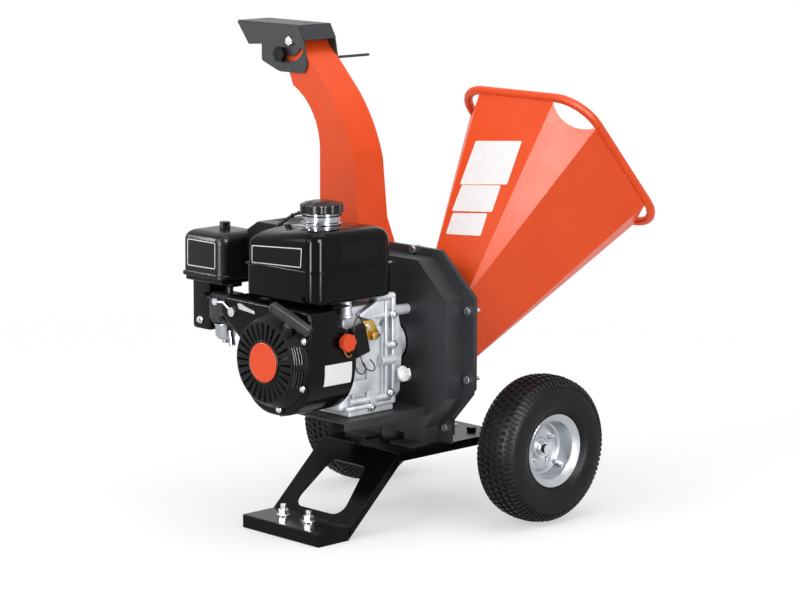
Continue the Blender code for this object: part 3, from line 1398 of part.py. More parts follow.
def handle_axis():
    """The way that the starter rope is pulled."""
    return Vector((0.42, -0.18, 0.88)).normalized()


def handle_point(distance):
    return Vector((0.063, -0.066, SHAFT_Z + SHROUD_RADIUS - 0.011)) + handle_axis() * distance


def tank_shell(inset):
    """The tank's outer skin, or its inside when inset, with a top that slopes in from all four sides."""
    low, high = Vector(TANK_LOW), Vector(TANK_HIGH)
    low += Vector((inset, inset, inset))
    high -= Vector((inset, inset, inset))
    bm = bmesh.new()
    bmesh.ops.create_cube(bm, size=1)
    size = Vector((high.x - low.x, high.y - low.y, high.z - TANK_CROWN - low.z))
    bmesh.ops.scale(bm, vec=size, verts=bm.verts)
    bmesh.ops.translate(bm, vec=low + size / 2, verts=bm.verts)
    top = max(bm.faces, key=lambda face: face.calc_center_median().z)
    bmesh.ops.inset_region(bm, faces=[top], thickness=TANK_CROWN, depth=0)
    bmesh.ops.translate(bm, vec=(0, 0, TANK_CROWN), verts=top.verts)
    return rounding(from_bmesh(bm), TANK_ROUNDING - inset, 1 if inset else 3)


def make_tank():
    low, high = Vector(TANK_LOW), Vector(TANK_HIGH)
    filler = rod(
        (NECK_X, NECK_Y, high.z - 0.02), (NECK_X, NECK_Y, high.z + 0.01), NECK_RADIUS - 0.007, 28
    )
    seam_reach = 0.004
    left, right = low.x - seam_reach, high.x + seam_reach
    near, far = low.y - seam_reach, high.y + seam_reach
    edge = rounded([(left, near), (right, near), (right, far), (left, far)], TANK_ROUNDING + 0.002, 4)
    seam = slab([edge], 0.003, facing_up(TANK_SEAM_Z))
    feet = [
        box((0.022, 0.140, SHAFT_Z + 0.0985 + GAP), (0.056, 0.162, low.z + 0.001)),
        box((0.022, 0.146, low.z), (0.056, 0.162, low.z + 0.020)),
        box((-0.060, 0.120, low.z - 0.004), (0.018, 0.144, low.z + 0.001)),
    ]
    part(
        "fuel_tank",
        tank_shell(0),
        GLOSS_BLACK,
        joined=[seam, *feet],
        cuts=[tank_shell(TANK_WALL), filler],
    )
    profile = [
        (NECK_RADIUS, NECK_HEIGHT),
        (NECK_RADIUS, 0.004),
        (NECK_RADIUS + 0.004, 0.002),
        (NECK_RADIUS + 0.004, 0),
        (NECK_RADIUS - 0.004, 0),
        (NECK_RADIUS - 0.004, NECK_HEIGHT),
    ]
    neck = turned(profile, (NECK_X, NECK_Y, high.z + GAP), (0, 0, 1), 24, ring=True)
    part("filler_neck", neck, CHROME)
    cap_low = high.z + 2 * GAP + NECK_HEIGHT
    outline = lobed(FUEL_CAP_RADIUS, 0.0025, 10, (NECK_X, NECK_Y), 4)
    cap = slab([outline], FUEL_CAP_HEIGHT - 0.006, facing_up(cap_low + (FUEL_CAP_HEIGHT - 0.006) / 2))
    profile = [
        (0, FUEL_CAP_HEIGHT),
        (0.020, FUEL_CAP_HEIGHT),
        (FUEL_CAP_RADIUS - 0.003, FUEL_CAP_HEIGHT - 0.003),
        (FUEL_CAP_RADIUS - 0.002, FUEL_CAP_HEIGHT - 0.007),
        (0, FUEL_CAP_HEIGHT - 0.007),
    ]
    crown = turned(profile, (NECK_X, NECK_Y, cap_low), (0, 0, 1), 24)
    part("fuel_cap", cap, BLACK_PLASTIC, joined=[crown], pivot=(NECK_X, NECK_Y, cap_low))


def make_air_cleaner():
    low, high = Vector(AIR_BOX_LOW), Vector(AIR_BOX_HIGH)
    cover = box(low, high, 0.012, 3)
    lip = box(
        (low.x - 0.004, low.y - 0.004, low.z), (high.x + 0.003, high.y + 0.003, low.z + 0.006), 0.002, 1
    )
    wall = Vector((AIR_BOX_WALL, AIR_BOX_WALL, AIR_BOX_WALL))
    inside = box((low.x + wall.x, low.y + wall.y, low.z - 0.03), high - wall, 0.010, 2)
    part("air_cleaner_cover", cover, BLACK_PLASTIC, joined=[lip], cuts=[inside])
    base = box(
        (low.x + 0.004, low.y + 0.004, low.z - 0.009),
        (high.x - 0.004, high.y - 0.004, low.z - GAP),
        0.002,
        1,
    )
    x, y, z = CARB_CENTRE
    carb_left = x - 0.034
    elbow = box((low.x, y - 0.018, z - 0.044), (carb_left - GAP, y + 0.032, low.z - 0.005), 0.006, 2)
    brace = box(
        (carb_left - 0.010, y - 0.012, z + 0.0385), (x + 0.020, y + 0.012, low.z - 0.006), 0.002, 1
    )
    part("air_cleaner_base", base, BLACK_PLASTIC, joined=[elbow, brace])
    top = (-0.236, (low.y + high.y) / 2, high.z + GAP)
    knob = slab([lobed(0.0095, 0.0015, 8, top[:2], 3)], 0.013, facing_up(top[2] + 0.0065))
    part("air_cleaner_knob", knob, BLACK_PLASTIC, pivot=top)


def make_carburettor():
    x, y, z = CARB_CENTRE
    body = rod((x - 0.034, y, z), (x + 0.034, y, z), 0.019, 24)
    pieces = [
        box((x - 0.034, y - 0.020, z - 0.022), (x - 0.027, y + 0.020, z + 0.022), 0.002, 1),
        box((x + 0.028, y - 0.020, z - 0.022), (x + 0.034, y + 0.020, z + 0.022), 0.002, 1),
        box((x - BOWL_OFFSET - 0.018, y - 0.020, z - 0.028), (x + 0.018, y + 0.020, z + 0.026), 0.003, 1),
        rod((x, y, z + 0.020), (x, y, z + 0.038), 0.006, 12),
    ]
    part("carburettor", body, CAST_ALUMINIUM, joined=pieces)
    bowl_top = z - 0.028 - GAP
    profile = [
        (0, 0),
        (0.021, 0),
        (0.021, -0.003),
        (0.019, -0.005),
        (0.018, 0.006 - BOWL_DEPTH),
        (0.013, -BOWL_DEPTH),
        (0.006, -BOWL_DEPTH),
        (0.006, -BOWL_DEPTH - 0.007),
        (0, -BOWL_DEPTH - 0.007),
    ]
    bowl_x = x - BOWL_OFFSET
    bowl = turned(profile, (bowl_x, y, bowl_top), (0, 0, 1), 18)
    sump = rod(
        (bowl_x + 0.027, y - 0.008, bowl_top - 0.036),
        (bowl_x + 0.018, y - 0.004, bowl_top - 0.012),
        0.006,
        12,
    )
    part("fuel_bowl", bowl, CHROME, joined=[sump])
    front = y - 0.020
    levers = (
        ("choke_lever", (x - 0.008, z + 0.012), Vector((-0.0275, 0.009)), BLACK_PLASTIC),
        ("fuel_valve_lever", (x + 0.008, z - 0.016), Vector((0.026, -0.010)), BLACK_PLASTIC),
    )
    for name, (px, pz), reach, coat in levers:
        spindle = rod((px, front - GAP, pz), (px, front - 0.008, pz), 0.005, 16)
        tip = Vector((px, pz)) + reach
        arm = pipe([(px, front - 0.006, pz), (tip.x, front - 0.006, tip.y)], 0.0024, 6)
        pad = rod((tip.x, front - 0.010, tip.y), (tip.x, front - 0.0025, tip.y), 0.0045, 10)
        part(name, spindle, coat, joined=[arm, pad], pivot=(px, front, pz))


def make_controls():
    y, z = SWITCH_PLACE
    knob = slab([lobed(0.0155, 0.002, 7, (y, z), 4)], 0.010, facing_right(SHROUD_RIGHT + 0.010))
    collar = rod((SHROUD_RIGHT + GAP, y, z), (SHROUD_RIGHT + 0.007, y, z), 0.011, 20)
    spindle = rod((SHROUD_RIGHT - 0.009, y, z), (SHROUD_RIGHT + 0.006, y, z), 0.0045, 12)
    part("switch_knob", knob, RED_PLASTIC, joined=[collar, spindle], pivot=(SHROUD_RIGHT, y, z))
    x, z = THROTTLE_PLACE
    face = SHROUD_FRONT_Y - GAP
    boss = rod((x, face, z), (x, face - 0.005, z), 0.008, 16)
    pin = rod((x, face - 0.001, z), (x, SHROUD_FRONT_Y + 0.008, z), 0.003, 10)
    blade = pipe([
        (x, face - 0.003, z), (x - 0.022, face - 0.003, z + 0.014), (x - 0.044, face - 0.003, z + 0.012),
    ],
                 0.0022, 6)
    tip = rod((x - 0.044, face - 0.0045, z + 0.012), (x - 0.044, face - 0.0010, z + 0.012), 0.006, 12)
    part("throttle_lever", boss, ZINC, joined=[pin, blade, tip], pivot=(x, face, z))
    unit = box((0, -0.017, -0.026), (0.016, 0.017, 0.026), 0.003, 1)
    place = Matrix.Translation((CRANKCASE_RIGHT + 0.004 + 2 * GAP, *ALERT_PLACE))
    unit.matrix_world = place @ Matrix.Rotation(math.radians(14), 4, "X") @ unit.matrix_world
    part("oil_alert_unit", unit, BLACK_PLASTIC)


def make_muffler():
    low, high = Vector(MUFFLER_LOW), Vector(MUFFLER_HIGH)
    body = box(low, high, 0.014, 3)
    outlet = rod(
        (low.x + 0.02, high.y - 0.01, low.z + 0.03),
        (low.x + 0.02, high.y + 0.010, low.z + 0.03),
        0.010,
        16,
    )
    part("muffler", body, GREY_COAT, joined=[outlet])

    # The guard is a pressed cover, open below, with a chamfer on its outer top edge
    left, right = low.x - GUARD_GAP, high.x + GUARD_GAP - GAP
    front, back = low.y - GUARD_GAP / 2, high.y + 0.0125
    bottom, top = low.z + 0.020, high.z + 0.010
    across, down = GUARD_CHAMFER
    inside = [(left, bottom), (right, bottom), (right, top), (left + across, top), (left, top - down)]
    outside = grown(inside, [0] + [GUARD_SHEET] * 4)
    hollow = grown(inside, [0.01, 0, 0, 0, 0])
    middle = (front + back) / 2
    shell = slab([outside], back - front + 2 * GUARD_SHEET, facing_front(middle))
    room = slab([hollow], back - front, facing_front(middle))
    # Two bosses, which the guard's screws go down through, stand on the muffler's flat top
    centre = (low.x + high.x) / 2
    bosses = []
    for y in (front + 0.024, back - 0.030):
        seat = (centre, y, high.z + GAP)
        bosses.append(rod(seat, (centre, y, top + GUARD_SHEET / 2), GUARD_BOSS_RADIUS, 12))
    slots = []
    for i in range(5):
        x = left + across + 0.004 + 0.0095 * i
        slots.append(box((x, front + 0.032, top - 0.005), (x + 0.005, back - 0.038, top + 0.01)))
    cover = combine(rounding(shell, 0.003), [room], "DIFFERENCE")
    part("muffler_guard", cover, BLACK_PLASTIC, joined=bosses, cuts=slots)


make_running_gear()
make_housing()
make_rotor()
make_hopper()
make_hopper_rim()
make_duct()
make_hood()
make_engine_plate()
make_crankcase()
make_dipstick()
make_crankshaft()
make_shroud()
make_recoil()
make_tank()
make_air_cleaner()
make_carburettor()
make_controls()
make_muffler()
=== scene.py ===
"""Looks of the compact petrol wood chipper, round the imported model: metres, in the solids' frame."""

import json
import math

import bmesh
import bpy
from mathutils import Matrix, Vector


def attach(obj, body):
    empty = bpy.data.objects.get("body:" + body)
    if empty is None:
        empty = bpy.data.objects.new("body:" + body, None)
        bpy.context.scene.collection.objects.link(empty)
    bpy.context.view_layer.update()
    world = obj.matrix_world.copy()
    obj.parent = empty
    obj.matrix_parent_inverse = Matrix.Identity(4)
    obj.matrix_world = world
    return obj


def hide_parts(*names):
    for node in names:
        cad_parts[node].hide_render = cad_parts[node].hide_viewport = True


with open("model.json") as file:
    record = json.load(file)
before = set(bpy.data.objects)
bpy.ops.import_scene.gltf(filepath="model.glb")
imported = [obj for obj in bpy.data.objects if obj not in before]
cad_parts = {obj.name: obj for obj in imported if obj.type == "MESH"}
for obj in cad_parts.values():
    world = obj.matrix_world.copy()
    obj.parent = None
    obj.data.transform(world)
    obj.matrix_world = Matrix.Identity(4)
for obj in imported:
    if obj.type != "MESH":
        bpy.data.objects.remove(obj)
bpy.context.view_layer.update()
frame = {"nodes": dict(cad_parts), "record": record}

# Camera, fitted to the photograph's frame, whose size is in pixels
PICTURE_WIDTH, PICTURE_HEIGHT = 800, 600
FOCAL_PIXELS = 2906.61
SENSOR_WIDTH = 36
CAMERA_AZIMUTH = math.radians(46.0567)
CAMERA_ELEVATION = math.radians(9.8296)
CAMERA_ROLL = math.radians(0.166)
CAMERA_DISTANCE = 4.97816
CAMERA_TARGET = Vector((0.0243, 0.193, 0.39308))
CAMERA_SHIFT = (0.0149, -0.0072)

# Lamps: name, place, aim, size and power
WORLD_LEVEL = 0.8
LAMPS = (
    ("key", (-0.6, -3.4, 2.6), (0, 0.2, 0.4), (2.2, 1.8), 66),
    ("side", (3.6, 0.2, 1.6), (0, 0.3, 0.4), (1.2, 2.2), 23),
    ("top", (0.2, 0.6, 3.4), (0, 0.3, 0.4), (2.6, 2.6), 44),
)
# Soft panels that only reflections see: they draw the bright lines on the rounded corners, and the pale sheen
# on the hopper's corner face
PANELS = (
    ("panel_left", (0.33, -2.38, 0.95), (0, 0, 0.95), (0.42, 1.8), 120),
    ("panel_right", (2.39, -0.25, 0.95), (0, 0, 0.95), (0.42, 1.8), 95),
    ("panel_far_left", (-2.37, -2.08, 1.35), (0, 0.05, 0.5), (0.6, 0.25), 38),
    ("panel_hopper", (0.68, -0.1, 1.0), (0.19, 0.44, 0.68), (0.3, 0.3), 11),
)
# The floor's reach each way, and its white glow: a share of it near the object, all of it further out
FLOOR_REACH = 30
GLOW_START, GLOW_END = 0.6, 2.4
GLOW_SHARE = 0.52

# Places in millimetres that the solids also use
SHAFT_Z = 306
WHEEL_RADIUS = 128.5
WHEEL_CENTRE = (217.9, 371.4, WHEEL_RADIUS)
# The front face of the fan shroud, which carries the starter, and the starter's three screws on it
COVER_Y = -50.3
COVER_SCREWS = ((81, 350), (19, 226.5), (77, 270))


# Camera, light and floor


def placed(name, data):
    """A new object of the scene that holds some data."""
    made = bpy.data.objects.new(name, data)
    bpy.context.scene.collection.objects.link(made)
    return made


def camera_axes():
    """The camera's directions to the right, up and back."""
    a, e, r = CAMERA_AZIMUTH, CAMERA_ELEVATION, CAMERA_ROLL
    back = Vector((math.sin(a) * math.cos(e), -math.cos(a) * math.cos(e), math.sin(e)))
    level = Vector((math.cos(a), math.sin(a), 0))
    upright = back.cross(level)
    right = level * math.cos(r) + upright * math.sin(r)
    up = upright * math.cos(r) - level * math.sin(r)
    return right, up, back


def make_camera():
    right, up, back = camera_axes()
    data = bpy.data.cameras.new("camera")
    data.sensor_width = SENSOR_WIDTH
    data.lens = FOCAL_PIXELS * SENSOR_WIDTH / PICTURE_WIDTH
    data.shift_x, data.shift_y = CAMERA_SHIFT
    camera = placed("camera", data)
    turn = Matrix((right, up, back)).transposed().to_4x4()
    camera.matrix_world = Matrix.Translation(CAMERA_TARGET + back * CAMERA_DISTANCE) @ turn
    bpy.context.scene.camera = camera


def linear(code):
    """A hex sRGB colour as linear red, green, blue and alpha."""
    values = [int(code[i : i + 2], 16) / 255 for i in (1, 3, 5)]
    return tuple(v / 12.92 if v <= 0.04045 else ((v + 0.055) / 1.055) ** 2.4 for v in values) + (1,)


def add(tree, kind, inputs=None, **settings):
    """Adds a node. inputs maps a socket's name or number to a value, or to the socket that feeds it."""
    made = tree.nodes.new("ShaderNode" + kind)
    for name, value in settings.items():
        setattr(made, name, value)
    for key, value in (inputs or {}).items():
        if isinstance(value, bpy.types.NodeSocket):
            tree.links.new(value, made.inputs[key])
        else:
            made.inputs[key].default_value = value
    return made


def empty_tree(holder):
    """The node tree of a world or material, with nothing in it yet."""
    holder.use_nodes = True
    holder.node_tree.nodes.clear()
    return holder.node_tree


def seen_directly(tree):
    """1 for what the camera, a reflection or glass shows, and 0 for the soft light that falls on things."""
    path = add(tree, "LightPath")
    camera, glossy, through = (path.outputs[f"Is {ray} Ray"] for ray in ("Camera", "Glossy", "Transmission"))
    seen = add(tree, "Math", {0: camera, 1: glossy}, operation="MAXIMUM")
    return add(tree, "Math", {0: seen.outputs[0], 1: through}, operation="MAXIMUM").outputs[0]


def make_background():
    """White for the camera and for reflections, with a softer level for the light on the object."""
    world = bpy.data.worlds.new("studio")
    bpy.context.scene.world = world
    tree = empty_tree(world)
    soft = add(tree, "Background", {"Color": linear("#F4F6FA"), "Strength": WORLD_LEVEL})
    white = add(tree, "Background", {"Color": linear("#FFFFFF"), "Strength": 1.0})
    mix = add(tree, "MixShader", {0: seen_directly(tree), 1: soft.outputs[0], 2: white.outputs[0]})
    add(tree, "OutputWorld", {"Surface": mix.outputs[0]})


def make_floor():
    """A pale floor that takes the object's shadow and turns white further out."""
    bm = bmesh.new()
    bmesh.ops.create_grid(bm, x_segments=1, y_segments=1, size=FLOOR_REACH)
    mesh = bpy.data.meshes.new("floor")
    bm.to_mesh(mesh)
    bm.free()
    made = bpy.data.materials.new("studio_floor")
    tree = empty_tree(made)
    spot = add(tree, "TexCoord")
    away = add(tree, "VectorMath", {0: spot.outputs["Object"]}, operation="LENGTH")
    limits = {1: GLOW_START, 2: GLOW_END, 3: GLOW_SHARE, 4: 1.0}
    reach = add(tree, "MapRange", {"Value": away.outputs["Value"], **limits})
    share = add(tree, "Math", {0: seen_directly(tree), 1: reach.outputs[0]}, operation="MULTIPLY")
    paint = add(tree, "BsdfDiffuse", {"Color": linear("#F2F2F2")})
    glow = add(tree, "Emission", {"Color": linear("#FFFFFF"), "Strength": 1.0})
    mix = add(tree, "MixShader", {0: share.outputs[0], 1: paint.outputs[0], 2: glow.outputs[0]})
    add(tree, "OutputMaterial", {"Surface": mix.outputs[0]})
    mesh.materials.append(made)
    placed("floor", mesh)


def make_light(name, place, aim, size, power):
    data = bpy.data.lights.new(name, "AREA")
    data.shape = "RECTANGLE"
    data.size, data.size_y = size
    data.energy = power
    lamp = placed(name, data)
    lamp.location = place
    lamp.rotation_euler = (Vector(aim) - Vector(place)).to_track_quat("-Z", "Y").to_euler()
    lamp.visible_camera = False
    return lamp


def make_studio():
    make_background()
    make_floor()
    for lamp in LAMPS:
        make_light(*lamp)
    for panel in PANELS:
        make_light(*panel).visible_diffuse = False
    bpy.context.scene.view_settings.view_transform = "Standard"


# Materials

# light and dark are the sRGB ends of a slow colour drift. patch and grain are the sizes of the drift and of
# the skin's tooth, and depth is the tooth's height, in millimetres. The tooth of plastics, rubber, castings,
# plated steel and wire is too fine to draw at its real size, so it is drawn coarser, at 0.5 to 1.2 mm.

# Nearly all of a noise lies between these values, over which the roughness runs from low to high
NOISE_LOW, NOISE_HIGH = 0.3, 0.7


def surface(name, light, dark, patch, grain, depth, roughness, specular=0.5, metallic=0):
    made = bpy.data.materials.new(name)
    made.use_nodes = True
    tree = made.node_tree
    shader = tree.nodes["Principled BSDF"]
    place = add(tree, "TexCoord").outputs["Object"]
    drift = add(tree, "TexNoise", {"Vector": place, "Scale": 1000 / patch, "Detail": 4, "Roughness": 0.6})
    colour = add(tree, "Mix", {0: drift.outputs[0], 6: linear(dark), 7: linear(light)}, data_type="RGBA")
    tree.links.new(colour.outputs[2], shader.inputs["Base Color"])
    low, high = roughness
    shine = add(tree, "MapRange", {0: drift.outputs[0], 1: NOISE_LOW, 2: NOISE_HIGH, 3: low, 4: high})
    tree.links.new(shine.outputs[0], shader.inputs["Roughness"])
    tooth = add(tree, "TexNoise", {"Vector": place, "Scale": 1000 / grain, "Detail": 3, "Roughness": 0.55})
    bump = add(tree, "Bump", {"Strength": 1, "Distance": depth / 1000, "Height": tooth.outputs[0]})
    tree.links.new(bump.outputs[0], shader.inputs["Normal"])
    shader.inputs["Metallic"].default_value = metallic
    shader.inputs["Specular IOR Level"].default_value = specular
    return made


# Polyester powder coat on folded steel: even colour with a fine orange peel that softens each reflection
ORANGE = surface("orange_powder_coat", "#E04C15", "#D8450F", 60, 1.6, 0.02, (0.34, 0.42), 0.2)
GREY_COAT = surface("dark_grey_powder_coat", "#36373A", "#2B2C2F", 70, 1.4, 0.03, (0.36, 0.48), 0.25)
# Black enamel on base, leg, tank and shroud: smooth, with a slight flow that bends the bright lines on it
ENAMEL = surface("gloss_black_enamel", "#09090A", "#050506", 50, 2.5, 0.01, (0.14, 0.24), 0.09)
TANK_PAINT = surface("tank_black_enamel", "#08080A", "#050506", 80, 3, 0.005, (0.08, 0.13), 0.1)
SHROUD_PAINT = surface("shroud_black_enamel", "#09090A", "#060607", 70, 2.8, 0.008, (0.14, 0.22), 0.11)
# The louvres' rolled lips: smoother than the cover round them, so each draws a thin bright line
LIP_ENAMEL = surface("smooth_louvre_lip", "#141416", "#0D0D0F", 12, 1, 0.004, (0.12, 0.2), 0.6)
# Glass-filled nylon and ABS mouldings: the grain of a spark-eroded mould, which gives a soft sheen
BLACK_PLASTIC = surface("moulded_black_plastic", "#0E0E10", "#09090A", 30, 0.8, 0.03, (0.28, 0.4), 0.14)
SATIN_PLASTIC = surface("satin_black_plastic", "#161618", "#0F0F10", 60, 1.2, 0.015, (0.24, 0.34), 0.2)
GRIP_PLASTIC = surface("grey_black_nylon_grip", "#2C2D30", "#222326", 20, 0.7, 0.03, (0.34, 0.46), 0.35)
CAP_PLASTIC = surface("gloss_black_cap_plastic", "#101012", "#0A0A0B", 20, 1, 0.012, (0.2, 0.3), 0.2)
RED_PLASTIC = surface("red_orange_plastic", "#DE4A1B", "#D24016", 25, 1, 0.01, (0.3, 0.4), 0.22)
WHITE_PLASTIC = surface("white_nylon", "#F2F2EE", "#E2E2DD", 14, 0.8, 0.01, (0.36, 0.46))
# Filled natural rubber: dull, with the faint bloom that a mould leaves
RUBBER = surface("tyre_rubber", "#0B0B0C", "#060607", 35, 0.9, 0.05, (0.38, 0.5), 0.17)
# Bright zinc on fasteners and, a little duller, on the rims: it mirrors the studio softly
ZINC = surface("zinc_plated_steel", "#D8DADD", "#B7BABF", 18, 0.6, 0.008, (0.2, 0.32), metallic=1)
RIM_ZINC = surface("zinc_plated_pressed_rim", "#BFC2C6", "#9EA1A6", 30, 0.7, 0.01, (0.26, 0.36), metallic=0.9)
# Die castings: a sandy skin that breaks reflections up, pale as it comes or blackened on the carburettor
CAST = surface("cast_aluminium", "#C2C5C8", "#A0A3A7", 22, 0.7, 0.06, (0.5, 0.62), metallic=0.7)
DARK_CAST = surface("blackened_die_casting", "#3A3B3E", "#242528", 20, 0.7, 0.05, (0.34, 0.48), metallic=0.6)
# Chrome on the filler neck and float bowl, ground steel on the cutters, yellow plating on the sensor bracket
CHROME = surface("chrome_plate", "#B4B6BA", "#929599", 20, 1.5, 0.003, (0.12, 0.2), metallic=1)
STEEL = surface("ground_steel", "#BDBFC2", "#9B9EA2", 8, 0.5, 0.01, (0.26, 0.4), metallic=1)
BRASS = surface("yellow_passivated_steel", "#D9B565", "#A97F34", 6, 0.5, 0.01, (0.22, 0.34), metallic=1)
# Printed vinyl: flat and even, with the slight unevenness of its adhesive
LABEL_BLACK = surface("black_vinyl_label", "#0C0C0D", "#070708", 12, 2, 0.006, (0.16, 0.24), 0.12)
LABEL_WHITE = surface("white_vinyl_label", "#E9E9E7", "#DCDCDA", 12, 2, 0.01, (0.34, 0.44))
# Pale raised borders round the tank's front label and the air cleaner's label, in an even pale colour
PALE_LABEL_BORDER = surface("pale_label_border", "#E4E4E4", "#CCCCCC", 12, 1, 0.004, (0.36, 0.46))
# Extruded insulation: a soft even sheen along each wire
WIRE = surface("black_wire_insulation", "#161617", "#0E0E0F", 12, 0.6, 0.01, (0.34, 0.46), 0.3)
AMBER_WIRE = surface("amber_wire_insulation", "#D08A2C", "#B57420", 12, 0.6, 0.01, (0.34, 0.46), 0.3)


# Pieces

# Vertices closer than this, in metres, are one, and faces that turn by less than FLAT are one flat face
MERGE = 0.000002
FLAT = math.radians(0.8)
# Edges that turn by more than this, in degrees, are shaded sharp, where a piece doesn't say otherwise
SMOOTH = 32


def mm(*values):
    """A point given in millimetres."""
    return Vector(values) / 1000


def frame_along(start, direction):
    """Puts local +Z along direction, with its zero at start, both in millimetres."""
    turn = Vector((0, 0, 1)).rotation_difference(Vector(direction)).to_matrix().to_4x4()
    return Matrix.Translation(mm(*start)) @ turn


def frame_of(origin, across, up):
    """Local X runs across and local Y runs up, so local Z is the outward side."""
    across, up = Vector(across).normalized(), Vector(up).normalized()
    out = across.cross(up).normalized()
    turn = Matrix((across, out.cross(across), out)).transposed().to_4x4()
    return Matrix.Translation(mm(*origin)) @ turn


def facing_front(x, y, z):
    """A place whose local X runs to the right, Y up, and Z to the front."""
    return frame_of((x, y, z), (1, 0, 0), (0, 0, 1))


def facing_right(x):
    """A place whose local X runs to the back, Y up, and Z to the right."""
    return frame_of((x, 0, 0), (0, 1, 0), (0, 0, 1))


def finished(name, bm, coat, node=None, body="machine", smooth=SMOOTH, weighted=False, check=True):
    """Makes a piece from a bmesh. It stands for a node and rides on its body, or else on the body given."""
    if check:
        outward(bm)
    mesh = bpy.data.meshes.new(name)
    bm.to_mesh(mesh)
    bm.free()
    mesh.shade_smooth()
    mesh.set_sharp_from_angle(angle=math.radians(smooth))
    mesh.materials.append(coat)
    piece = placed(name, mesh)
    if weighted:
        normals = piece.modifiers.new("even shading", "WEIGHTED_NORMAL")
        normals.keep_sharp = True
    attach(piece, body_of(node) if node else body)
    if node:
        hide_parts(node)


def outward(bm):
    bmesh.ops.recalc_face_normals(bm, faces=bm.faces)


def body_of(node):
    return next(body for body, names in frame["record"]["behaviour"]["bodies"].items() if node in names)


def dressed(node, coat, edge):
    """The solid's own shape with its facets shaded round and its sharp edges eased."""
    bm = bmesh.new()
    bm.from_mesh(frame["nodes"][node].data)
    bmesh.ops.remove_doubles(bm, verts=bm.verts, dist=MERGE)
    bmesh.ops.dissolve_limit(bm, angle_limit=FLAT, verts=bm.verts, edges=bm.edges)
    ease(bm, sharp_edges(bm, math.radians(SMOOTH)), edge)
    finished(node + "_dressed", bm, coat, node, weighted=True, check=False)


def sharp_edges(bm, angle):
    """The edges between two faces that turn by more than an angle in radians."""
    return [e for e in bm.edges if len(e.link_faces) == 2 and e.calc_face_angle() > angle]


def ease(bm, edges, width, segments=2):
    """Rounds edges over a width in millimetres."""
    return bmesh.ops.bevel(
        bm, geom=list(edges), offset=width / 1000, offset_type="OFFSET", segments=segments, affect="EDGES",
        profile=0.5, material=-1, clamp_overlap=True,
    )["verts"]


def add_block(bm, low, high, edge=0, turn=None):
    """A block between two corners."""
    low, high = mm(*low), mm(*high)
    verts = bmesh.ops.create_cube(bm, size=1)["verts"]
    bmesh.ops.scale(bm, vec=high - low, verts=verts)
    bmesh.ops.translate(bm, vec=(low + high) / 2, verts=verts)
    if edge:
        verts = ease(bm, {e for v in verts for e in v.link_edges}, edge)
    if turn:
        bmesh.ops.transform(bm, matrix=turn, verts=verts)


def turned(profile, steps, closed=False):
    """A new bmesh: a profile of (radius, height) in millimetres, turned about local Z."""
    own = bmesh.new()
    ring = [own.verts.new(mm(radius, 0, height)) for radius, height in profile]
    for one, two in zip(ring, ring[1:] + (ring[:1] if closed else [])):
        own.edges.new((one, two))
    bmesh.ops.spin(
        own, geom=own.verts[:] + own.edges[:], cent=(0, 0, 0), axis=(0, 0, 1), angle=2 * math.pi, steps=steps,
        use_merge=True, use_duplicate=False,
    )
    bmesh.ops.remove_doubles(own, verts=own.verts, dist=MERGE)
    return own


def add_turned(bm, profile, start, direction, steps=48, closed=False):
    """A profile of (radius, height), turned about the axis from start."""
    own = turned(profile, steps, closed)
    outward(own)
    pour(own, bm, frame_along(start, direction))


def pour(own, bm, place):
    """Puts one bmesh in its place and adds it to another."""
    bmesh.ops.transform(own, matrix=place, verts=own.verts)
    mesh = bpy.data.meshes.new("part of a piece")
    own.to_mesh(mesh)
    own.free()
    bm.from_mesh(mesh)
    bpy.data.meshes.remove(mesh)


def add_bar(bm, start, end, radius, end_radius=None, sides=24, edge=0):
    """A round bar between two points, with its rims eased."""
    start, end = Vector(start), Vector(end)
    length = (end - start).length
    tip = radius if end_radius is None else end_radius
    side = [(radius, 0), (tip, length)]
    if edge:
        side = [(radius - edge, 0), (radius, edge), (tip, length - edge), (tip - edge, length)]
    add_turned(bm, [(0, 0), *side, (0, length)], start, end - start, sides)


def add_hexagon(bm, start, direction, across, height):
    """A nut or bolt head, its corners eased."""
    own = bmesh.new()
    corner = across / math.sqrt(3) / 1000
    bmesh.ops.create_cone(own, cap_ends=True, segments=6, radius1=corner, radius2=corner, depth=height / 1000)
    ease(own, own.edges[:], min(0.6, height * 0.15), 2)
    bmesh.ops.translate(own, vec=(0, 0, height / 2000), verts=own.verts)
    pour(own, bm, frame_along(start, direction))


def add_screw(bm, washer, place, out, across, height, lift):
    """A washer given by its profile, with a hexagon head that starts a little above its foot."""
    add_turned(bm, washer, place, out, 24)
    add_hexagon(bm, Vector(place) + Vector(out) * lift, out, across, height)


def pulled(bm, faces, way):
    """Extrudes faces by a way in millimetres and gives what is new."""
    new = bmesh.ops.extrude_face_region(bm, geom=faces)["geom"]
    bmesh.ops.translate(bm, vec=mm(*way), verts=[v for v in new if isinstance(v, bmesh.types.BMVert)])
    return new


def first_face(items):
    return next(item for item in items if isinstance(item, bmesh.types.BMFace))


def add_slab(bm, outline, depth, place, edge=0, segments=2):
    """An outline in millimetres, from its plane outwards by depth."""
    own = bmesh.new()
    face = own.faces.new([own.verts.new(mm(x, y, 0)) for x, y in outline])
    pulled(own, [face], (0, 0, depth))
    outward(own)
    if edge:
        ease(own, sharp_edges(own, 0.6), edge, segments)
    pour(own, bm, place)


def add_frame(bm, outline, width, depth, place):
    """A flat border inside an outline."""
    own = bmesh.new()
    face = own.faces.new([own.verts.new(mm(x, y, 0)) for x, y in outline])
    own.normal_update()
    bmesh.ops.inset_region(own, faces=[face], thickness=width / 1000, use_even_offset=True, use_boundary=True)
    bmesh.ops.delete(own, geom=[face], context="FACES")
    pulled(own, own.faces[:], (0, 0, depth))
    outward(own)
    pour(own, bm, place)


